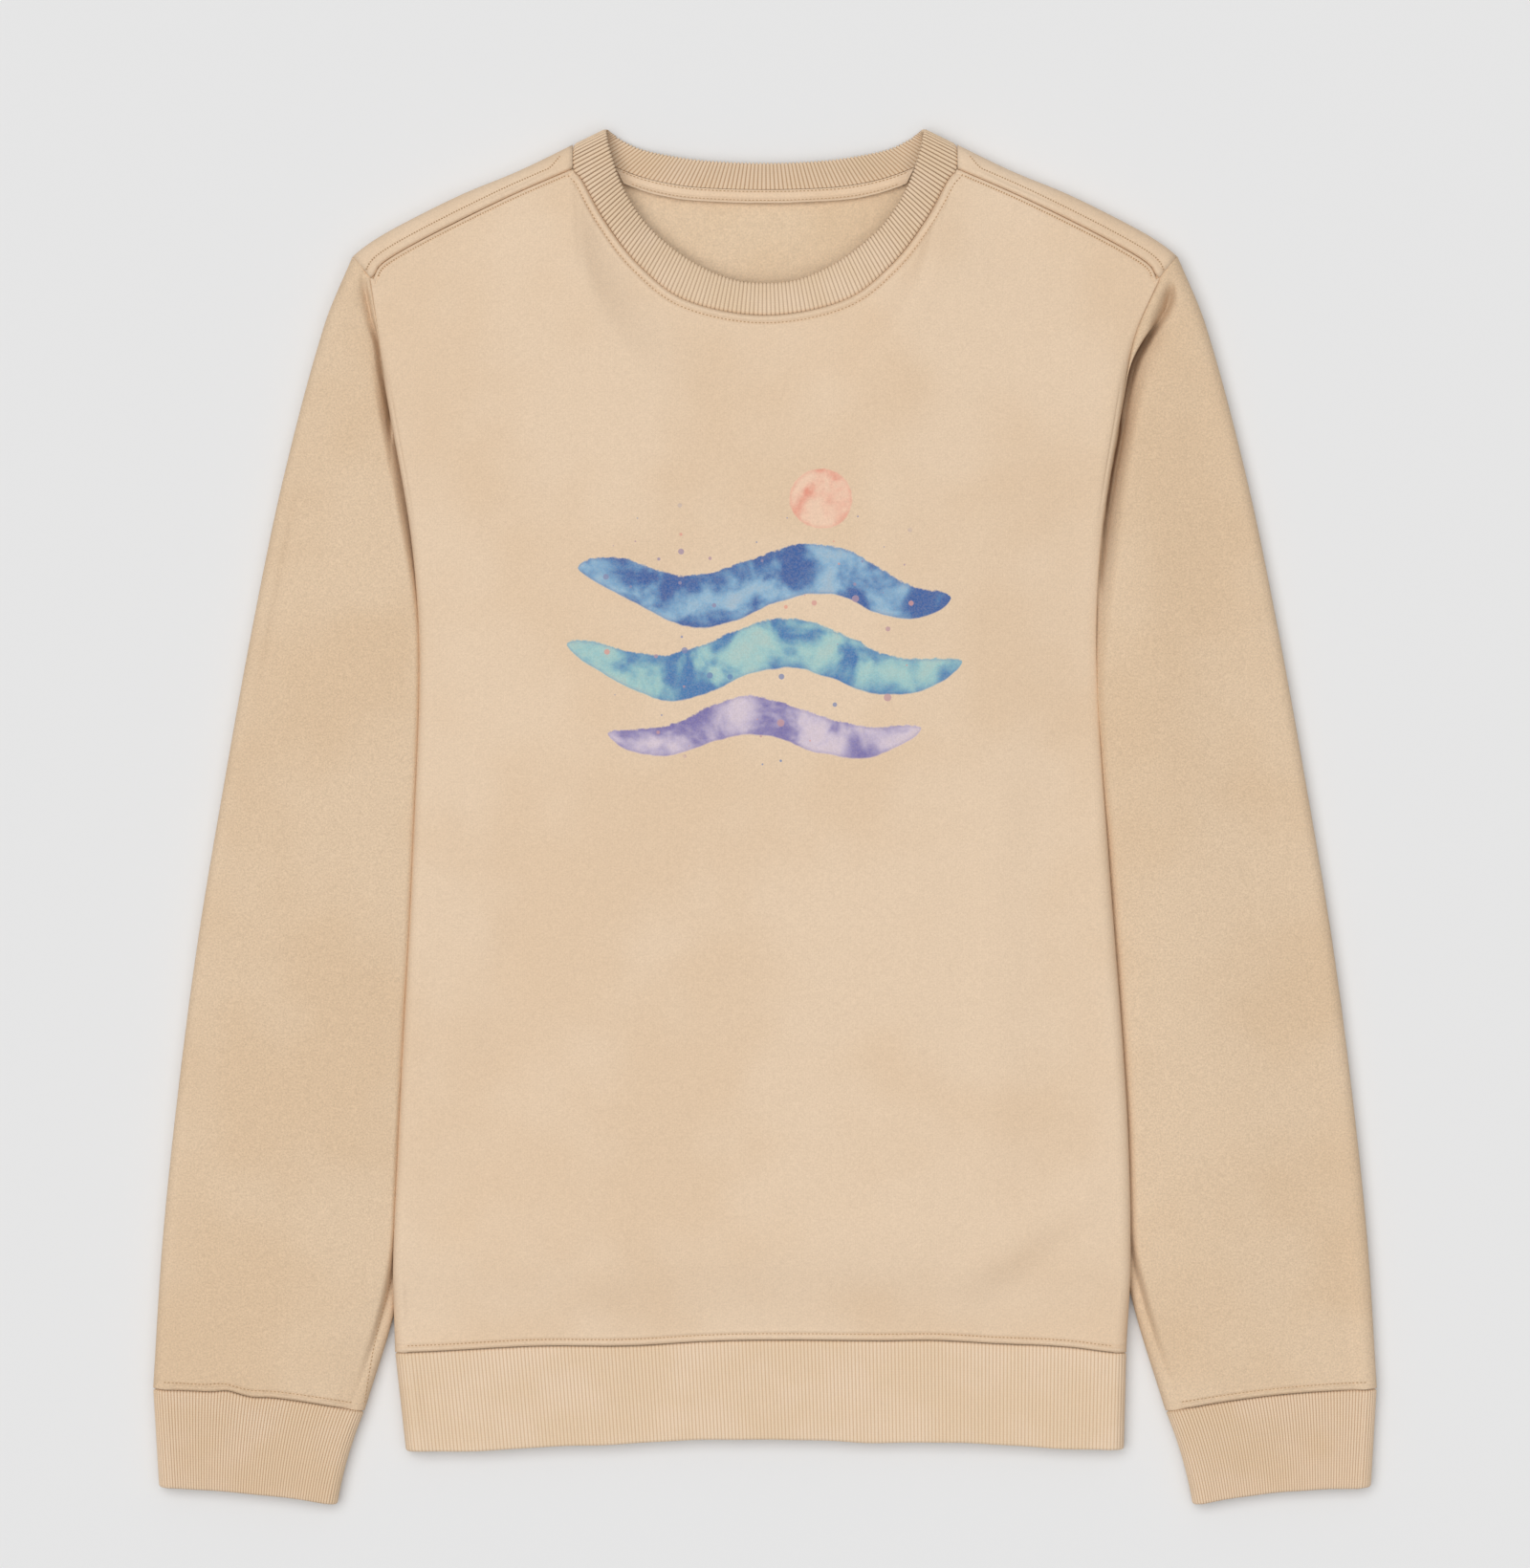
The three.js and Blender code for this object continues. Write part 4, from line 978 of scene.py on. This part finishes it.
def neck_tape():
    cols, rows = 260, 25
    step = (1 - 2 * back_neck.corner) / 16
    s = np.linspace(back_neck.corner + step, 1 - back_neck.corner - step, cols)
    start = back_neck.seam.at(s) - [0, 2 * GAP]
    end = tape_edge.at(np.linspace(0, 1, cols))
    t = np.linspace(0, 1, rows)[:, None, None]
    flat = mix(start, end, t)
    x, y = flat[..., 0], flat[..., 1]
    down = t[..., 0] * TAPE_WIDTH
    curl = 3.0 * ease((t[..., 0] - 0.5) / 0.5)
    level = CLOTH + GAP + TAPE + curl + 0.25 * waves(x, y, (30, 21, 44), 61)
    for line in TAPE_STITCHES:
        level = level - 0.45 * bell((down - line) / 0.5)
    edge = rounded(np.minimum(down, TAPE_WIDTH - down), TAPE)
    outer, inner = points(x, y, level - edge), points(x, y, CLOTH + GAP + curl + edge)
    run = np.broadcast_to(s * back_neck.length, x.shape)
    uv = np.stack([run, np.broadcast_to(down, x.shape)], axis=-1)
    return layer("neck_tape_folded", outer, inner, uv)


# Small thread stitches lying on a piece along plan lines
def stitches(name, lines, piece, pitch=STITCH_PITCH, radius=STITCH_RADIUS):
    mesh = piece.data
    surface = BVHTree.FromPolygons([v.co for v in mesh.vertices], [f.vertices[:] for f in mesh.polygons])
    rings, around = 5, 6
    lean, turns = np.linspace(0, np.pi, rings), np.arange(around) / around * 2 * np.pi
    shape = np.array([
        (math.cos(a), r * math.cos(turn), r * math.sin(turn))
        for a, r in zip(lean, np.sin(lean).clip(0.12)) for turn in turns
    ])
    cells = [
        [a + b, a + (b + 1) % around, a + around + (b + 1) % around, a + around + b]
        for a in range(0, (rings - 1) * around, around) for b in range(around)
    ]
    # Two faces close each end
    cells = np.array(cells + [[0, 3, 2, 1], [0, 5, 4, 3], [29, 26, 27, 28], [29, 24, 25, 26]])
    verts, faces = [], []
    for line in lines:
        line = np.asarray(line, float)
        run = run_along(line)
        for d in np.arange(0.5, run[-1] - pitch, pitch):
            ends = []
            for x, y in place_at(line, run, [d, d + pitch * STITCH_SHARE]):
                hit = surface.ray_cast(Vector((x * MM, y * MM, 0.2)), Vector((0, 0, -1)))[0]
                if hit is not None:
                    ends.append(np.array([x, y, hit.z / MM]))
            if len(ends) < 2 or abs(ends[0][2] - ends[1][2]) > 1:
                continue
            length = np.linalg.norm(ends[1] - ends[0])
            along = (ends[1] - ends[0]) / length
            across = unit(np.cross([0, 0, 1.0], along))
            axes = [along * length / 2, across * radius, np.cross(along, across) * radius]
            faces.append(cells + len(verts) * len(shape))
            verts.append((ends[0] + ends[1]) / 2 + [0, 0, STITCH_LIFT] + shape @ axes)
    return solid(name, np.concatenate(verts) * MM, np.concatenate(faces))


def beside(line, distance):
    line = np.asarray(line, float)
    along = np.gradient(line, axis=0)
    along /= np.linalg.norm(along, axis=1)[:, None]
    return line + distance * np.stack([-along[:, 1], along[:, 0]], axis=1)


def operator(operation):
    return lambda value, other=0.0: value.nodes.math(operation, value, other)


# A value in a node tree, and the sums it can be part of
class Value:
    __add__, __sub__, __mul__ = operator("ADD"), operator("SUBTRACT"), operator("MULTIPLY")
    __truediv__, __pow__, __abs__ = operator("DIVIDE"), operator("POWER"), operator("ABSOLUTE")

    def __init__(self, nodes, socket):
        self.nodes, self.socket = nodes, socket

    def __rsub__(self, other):
        return self.nodes.math("SUBTRACT", other, self)


# A material and the nodes that make its look
class Nodes:
    def __init__(self, name):
        self.material = bpy.data.materials.new(name)
        self.material.use_nodes = True
        self.tree = self.material.node_tree

    def put(self, socket, value):
        if isinstance(value, Value):
            self.tree.links.new(value.socket, socket)
        else:
            socket.default_value = value

    # A new node's outputs that are named: one value, or a list where there are more
    def node(self, kind, inputs=(), *outputs, **settings):
        made = self.tree.nodes.new("ShaderNode" + kind)
        for key, value in settings.items():
            setattr(made, key, value)
        for key, value in dict(inputs).items():
            self.put(made.inputs[key], value)
        values = [Value(self, made.outputs[key]) for key in outputs or (0,)]
        return values if len(values) > 1 else values[0]

    def math(self, operation, *terms, clamp=False):
        return self.node("Math", enumerate(terms), operation=operation, use_clamp=clamp)

    def step(self, value, low, high, out_low=0.0, out_high=1.0):
        ends = {"From Min": low, "From Max": high, "To Min": out_low, "To Max": out_high}
        return self.node("MapRange", {"Value": value, **ends}, interpolation_type="SMOOTHSTEP")

    def blend(self, share, a, b, mode="MIX"):
        return self.node("Mix", {0: share, 6: a, 7: b}, 2, data_type="RGBA", blend_type=mode)

    def shaded(self, colour, shade):
        grey = self.node("CombineColor", {0: shade, 1: shade, 2: shade})
        return self.blend(1.0, colour, grey, "MULTIPLY")

    def noise(self, where, scale, detail=2.0, roughness=0.5, distortion=0.0):
        look = {"Scale": scale, "Detail": detail, "Roughness": roughness, "Distortion": distortion}
        return self.node("TexNoise", {"Vector": where, **look}, "Fac")

    # Broad soft change between two tones
    def tones(self, where, scale, low, high):
        return self.blend(self.step(self.noise(where, scale), 0.35, 0.65), low, high)

    # Place on the object, in millimetres
    def place(self):
        where = self.node("TexCoord", (), "Object")
        return self.node("Mapping", {"Vector": where, "Scale": (1 / MM,) * 3})

    def uv(self, name):
        return self.node("SeparateXYZ", {0: self.node("UVMap", uv_map=name)}, 0, 1)

    def bump(self, height, strength, distance, normal=None):
        look = {"Height": height, "Strength": strength, "Distance": distance * MM}
        return self.node("Bump", look if normal is None else {**look, "Normal": normal})

    def set(self, look):
        for key, value in look.items():
            self.put(self.tree.nodes["Principled BSDF"].inputs[key], value)
        return self.material

    def finish(self, colour, normal, roughness, sheen):
        return self.set({
            "Base Color": colour, "Normal": normal, "Roughness": roughness, "Sheen Weight": sheen,
            "Sheen Roughness": 0.6, "Sheen Tint": SHEEN_TINT, "Specular IOR Level": 0.2,
        })


def linear(r, g, b):
    def one(c):
        c /= 255
        return c / 12.92 if c <= 0.04045 else ((c + 0.055) / 1.055) ** 2.4
    return (one(r), one(g), one(b), 1.0)


WALE = 1.15
COURSE = 0.95
RIB_COURSE = 1.25
THREAD = linear(186, 154, 118)
GROUND = linear(229, 229, 229)
SHEEN_TINT = linear(240, 222, 200)


# From 1 at 0 and at 1 down to 0 halfway
def off_centre(share):
    return abs(share * 2.0 - 1.0)


# Fleece, with the fine columns of slanted loops of a plain knit
def fleece_material(name, low, high, grain=1.0, mottle=0.0, design=None, painted_crease_shade=None):
    n = Nodes(name)
    u, v = n.uv("knit")
    where = n.place()
    slant = off_centre(n.math("FRACT", u / WALE))
    loop = n.math("COSINE", (v / COURSE - slant * 0.55) * (2 * math.pi))
    loops = loop * 0.25 + 0.5 - n.step(slant, 0.55, 1.0, 0.0, 0.45)
    nap = n.noise(where, 1.0, 5.0, 0.7)
    fuzz = n.noise(where, 0.3, 4.0, 0.65, 0.6)
    speck = n.step(nap, 0.3, 0.7, 1 - 0.06 * grain, 1 + 0.05 * grain)
    cloudy = n.step(fuzz, 0.3, 0.7, 0.985 - mottle, 1.012 + mottle)
    # The loops term is painted shade between the knit's loops; speck and cloudy are the fleece's own
    # grain
    shade = speck * cloudy * n.step(loops, 0.0, 0.6, 0.975, 1.005)
    colour = n.shaded(n.tones(where, 0.012, low, high), shade)
    if design is not None:
        colour = design(n, where, colour, shade)
    # Painted shade: the colour is darkened towards the given colour in the sleeve head's crease
    if painted_crease_shade is not None:
        colour = n.blend(n.uv("painted_crease_shade")[0], colour, painted_crease_shade)
    soft = n.bump(nap + fuzz, 0.3 * grain + 2 * mottle, 0.45)
    return n.finish(colour, n.bump(loops, 0.25, 0.2, soft), 0.92, 0.12)


# Ribbed knit, with painted shade: its grooves take the dark colour from the given share of a rib out.
# The last argument says how that painted shade of the grooves grows from the middle rib to both ends
def rib_material(name, low, high, dark, reach, groove_shade_fade=None):
    n = Nodes(name)
    u, v = n.uv("knit")
    where = n.place()
    from_middle = off_centre(n.math("FRACT", u))
    slant = off_centre(from_middle)
    loop = n.math("COSINE", (v / RIB_COURSE + slant * 0.45) * (2 * math.pi))
    nap = n.noise(where, 1.8, 4.0, 0.65)
    # Painted shade: the grooves' dark colour stands in for the shade that falls in them
    groove_shade = n.step(from_middle, reach, 1.0, 0.0, 0.85)
    if groove_shade_fade is not None:
        groove_shade = groove_shade * n.step(abs(u), *groove_shade_fade)
    tone_with_groove_shade = n.blend(groove_shade, n.tones(where, 0.03, low, high), dark)
    # The loop term is painted shade between the knit's loops; the nap term is the knit's own grain
    shade = n.step(nap, 0.3, 0.7, 0.95, 1.03) * (loop * 0.03 + 0.985)
    normal = n.bump(loop, 0.25, 0.12, n.bump(nap, 0.25, 0.3))
    return n.finish(n.shaded(tone_with_groove_shade, shade), normal, 0.88, 0.1)


def thread_material():
    n = Nodes("sewing_thread")
    nap = n.noise(n.place(), 4.0)
    colour = n.shaded(THREAD, n.step(nap, 0.3, 0.7, 0.93, 1.04))
    return n.finish(colour, n.bump(nap, 0.3, 0.1), 0.6, 0.0)


# Printed watercolour design on the chest: three wavy bands under a small disc, with fine splashes
DESIGN_MIDDLE = (-0.3, 104.0)
DESIGN_HALF = (102.0, 84.0)
DESIGN_BANDS = [
    # middle height, half width, length, wave height, wavelength, phase, two colours
    (20.0, 15.0, 100.0, 9.0, 122.0, 0.3, linear(104, 178, 220), linear(36, 92, 160)),
    (-20.0, 14.0, 106.0, 9.0, 128.0, 1.0, linear(128, 200, 208), linear(52, 118, 176)),
    (-57.0, 11.0, 84.0, 7.0, 118.0, 1.9, linear(208, 198, 224), linear(118, 112, 172)),
]
DISC = (30.0, 66.0, 17.0, linear(244, 206, 182), linear(228, 148, 128))
SPLASH_INKS = linear(96, 134, 180), linear(228, 160, 140)


def watercolour(n, where, cloth, shade):
    local = n.node("Mapping", {"Vector": where, "Location": (-DESIGN_MIDDLE[0], -DESIGN_MIDDLE[1], 0)})
    x, y = n.node("SeparateXYZ", {0: local}, 0, 1)
    sway = (n.noise(local, 0.03, 3.0) - 0.5) * 16.0
    frill = (n.noise(local, 0.35, 4.0, 0.7) - 0.5) * 4.0
    wander = sway + frill
    wash = n.noise(local, 0.04, 3.0, 0.55, 0.35)
    grain = n.noise(local, 1.1, 3.0, 0.7)

    def lay(colour, inside, light, dark):
        mask = n.step(inside, 0.0, 1.1)
        rim = mask * n.step(inside, 0.4, 3.2, 1.0, 0.0)
        pigment = n.blend(n.step(wash, 0.38, 0.62), light, dark)
        pigment = n.blend(rim * 0.45, pigment, dark)
        depth = n.step(wash, 0.25, 0.6, 0.62, 0.97) * n.step(grain, 0.3, 0.7, 0.86, 1.0)
        depth = n.math("MAXIMUM", depth, rim * 0.95)
        return n.blend(mask * depth, colour, n.shaded(pigment, shade))

    def radius_at(dx, dy):
        return dx * dx + dy * dy

    cx, cy, radius, light, dark = DISC
    away = n.math("SQRT", radius_at(x - cx, y - cy))
    colour = lay(cloth, radius - (away + wander * 0.3), light, dark)
    for height, half, reach, rise, wavelength, phase, light, dark in DESIGN_BANDS:
        middle = n.math("SINE", x * (2 * math.pi / wavelength) + phase) * rise + height
        off = abs(y + wander * 0.5 - middle)
        taper = n.math("SUBTRACT", 1.0, abs(x / reach) ** 2.4, clamp=True)
        width = n.math("SQRT", taper) * half
        colour = lay(colour, width - (off + frill * 0.4), light, dark)
    cells = {"Vector": local, "Scale": 0.075, "Randomness": 1.0}
    away, tint = n.node("TexVoronoi", cells, "Distance", "Color", voronoi_dimensions="2D")
    chance, size, hue = n.node("SeparateColor", {0: tint}, 0, 1, 2)
    near = n.step(radius_at(x / DESIGN_HALF[0], y / DESIGN_HALF[1]), 0.8, 1.0, 1.0, 0.0)
    splash = (size**2.0 * 0.13 + 0.035 - away) * 13.0
    mask = n.step(splash, 0.0, 0.25) * n.step(chance, 0.6, 0.61) * near
    return n.blend(mask * 0.8, colour, n.blend(hue, *SPLASH_INKS))


BODY_TONES = linear(225, 198, 168), linear(229, 204, 176)
BRUSHED_TONES = linear(223, 195, 162), linear(227, 201, 170)
# Sleeve tones: the same fleece as the body, darkened as painted shade
SLEEVE_SHADED_TONES = linear(220, 192, 160), linear(224, 198, 168)
RIB_TONES = linear(227, 201, 170), linear(231, 206, 178)
# Hem tones: the other ribs' tones lightened as painted light
HEM_LIT_TONES = linear(230, 205, 175), linear(234, 210, 183)
materials = {
    "fleece": fleece_material("fleece", *BODY_TONES),
    "chest": fleece_material("fleece_printed", *BODY_TONES, 1.25, design=watercolour),
    # The sleeves' crease colour is painted shade
    "sleeve": fleece_material("fleece_sleeve", *SLEEVE_SHADED_TONES, 2.1, painted_crease_shade=linear(96, 60, 34)),
    "brushed": fleece_material("fleece_brushed", *BRUSHED_TONES, 1.8, mottle=0.03),
    # The dark colours given to the ribs below are painted shade in their grooves
    "collar": rib_material("rib_collar", *RIB_TONES, linear(120, 84, 55), 0.55, (15, 55, 0.55, 1.0)),
    "collar_back": rib_material("rib_collar_back", *RIB_TONES, linear(176, 138, 102), 0.5),
    "hem": rib_material("rib_hem", *HEM_LIT_TONES, linear(206, 173, 138), 0.5),
    "cuff": rib_material("rib_cuff", *RIB_TONES, linear(188, 151, 115), 0.5),
    "thread": thread_material(),
}


# Finish of a piece's outer and inner faces, and the nodes it stands for
def dress(piece, finishes, slot, *nodes):
    for finish in finishes:
        piece.data.materials.append(materials[finish])
    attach(piece, "root")
    if nodes:
        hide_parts(*nodes)
    return piece


front = dress(
    body_front(), ("chest", "brushed"), "fleece", "front_panel", "side_turn_left", "side_turn_right",
)
back = dress(
    body_back(), ("fleece", "brushed"), "fleece", "back_panel", "shoulder_left", "shoulder_right",
)
sleeves = {
    side: dress(
        sleeve(side, "sleeve_" + name), ("sleeve", "brushed"), "fleece",
        f"sleeve_{name}_top", f"sleeve_{name}_under",
    )
    for side, name in SIDES.items()
}
cuffs = {
    side: dress(cuff(side, f"cuff_{name}_rib"), ("cuff", "cuff"), "rib", "cuff_" + name)
    for side, name in SIDES.items()
}
hem = dress(hem_band(), ("hem", "hem"), "rib", "hem_band")
collar = dress(collar_front(), ("collar", "collar"), "rib", "collar_front")
collar_inside = dress(collar_back(), ("collar_back", "collar_back"), "rib", "collar_back")
tape = dress(neck_tape(), ("fleece", "fleece"), "tape", "neck_tape")


# Topstitching
def sew(name, lines, piece, *size):
    dress(stitches(name, lines, piece, *size), ("thread",), "thread")


def both_sides(line):
    return [line * [side, 1] for side in (-1, 1)]


strip_s = np.linspace(0.04, 0.985, 200)
strip = shoulder_seam.at(strip_s)
strip_line = beside(strip, STRIP_STITCH + GAP)
strip_line[:, 1] += 4.5 * ease((0.1 - strip_s) / 0.07)
hem_x = np.linspace(-HEM_SEAM_HALF + 4, HEM_SEAM_HALF - 8, 300)
hem_line = np.stack([hem_x, hem_seam_y(hem_x) + HEM_STITCH], axis=1)
sew("stitches_body", [beside(neck_seam_line, -NECK_STITCH), hem_line], front)
seam_lines = both_sides(beside(strip, -SHOULDER_STITCH))
sew("stitches_shoulder_seams", seam_lines, front, DENSE_PITCH, DENSE_RADIUS)
sew("stitches_shoulders", both_sides(strip_line), back, DENSE_PITCH, STRIP_RADIUS)
cuff_t = np.linspace(0.05, 0.95, 120)
for side, name in SIDES.items():
    line = mix(np.array(CUFF_SEAM_OUTER), np.array(CUFF_SEAM_INNER), cuff_t[:, None])
    line[:, 1] += GAP + HEM_STITCH + cuff_rise(side, cuff_t)
    lines = [line] if side > 0 else [line, Curve(UNDERARM_SEAM).line[::20]]
    sew("stitches_cuff_" + name, [line * [side, 1] for line in lines], sleeves[side])
tape_s = np.linspace(0.13, 0.87, 200)
tape_start = back_neck.seam.at(tape_s)
tape_end = tape_edge.at(clamp01((tape_s - 0.1) / 0.8))
tape_lines = [mix(tape_start, tape_end, line / TAPE_WIDTH) for line in TAPE_STITCHES]
sew("stitches_tape", tape_lines, tape)

# Floor, light and camera
LOOK_AT = (0.0, 0.0175, 0.015)
FRAME_HEIGHT = 0.842
DISTANCE = 5.0
SENSOR = 36
FLOOR_SIZE = 8
FLOOR_HEIGHT = -0.0004
WORLD_LIGHT = 0.3
bpy.ops.mesh.primitive_plane_add(size=FLOOR_SIZE, location=(0, 0, FLOOR_HEIGHT))
floor = bpy.context.object
floor.name = "floor"
matt = {"Base Color": GROUND, "Roughness": 1.0, "Specular IOR Level": 0.0}
floor.data.materials.append(Nodes("floor").set(matt))

world = bpy.data.worlds.new("studio")
world.use_nodes = True
sky = world.node_tree.nodes["Background"].inputs
sky["Color"].default_value = (1.0, 1.0, 1.0, 1.0)
sky["Strength"].default_value = WORLD_LIGHT
bpy.context.scene.world = world
# Soft lights, as name, strength, width in degrees and the direction they come from
for name, energy, width, way in (
    ("key", 1.27, 50, (-0.26, 0.14, 1.0)), ("overhead", 1.0, 75, (0.0, 0.0, 1.0)),
):
    light = bpy.data.objects.new(name, bpy.data.lights.new(name, "SUN"))
    light.data.energy = energy
    light.data.angle = math.radians(width)
    light.rotation_euler = Vector(way).to_track_quat("Z", "Y").to_euler()
    bpy.context.scene.collection.objects.link(light)

camera = bpy.data.objects.new("camera", bpy.data.cameras.new("camera"))
camera.location = (LOOK_AT[0], LOOK_AT[1], LOOK_AT[2] + DISTANCE)
camera.data.sensor_width = SENSOR
camera.data.lens = SENSOR / 2 * DISTANCE / (FRAME_HEIGHT / 2)
camera.data.clip_end = 50
bpy.context.scene.collection.objects.link(camera)
bpy.context.scene.camera = camera
bpy.context.scene.view_settings.view_transform = "Standard"
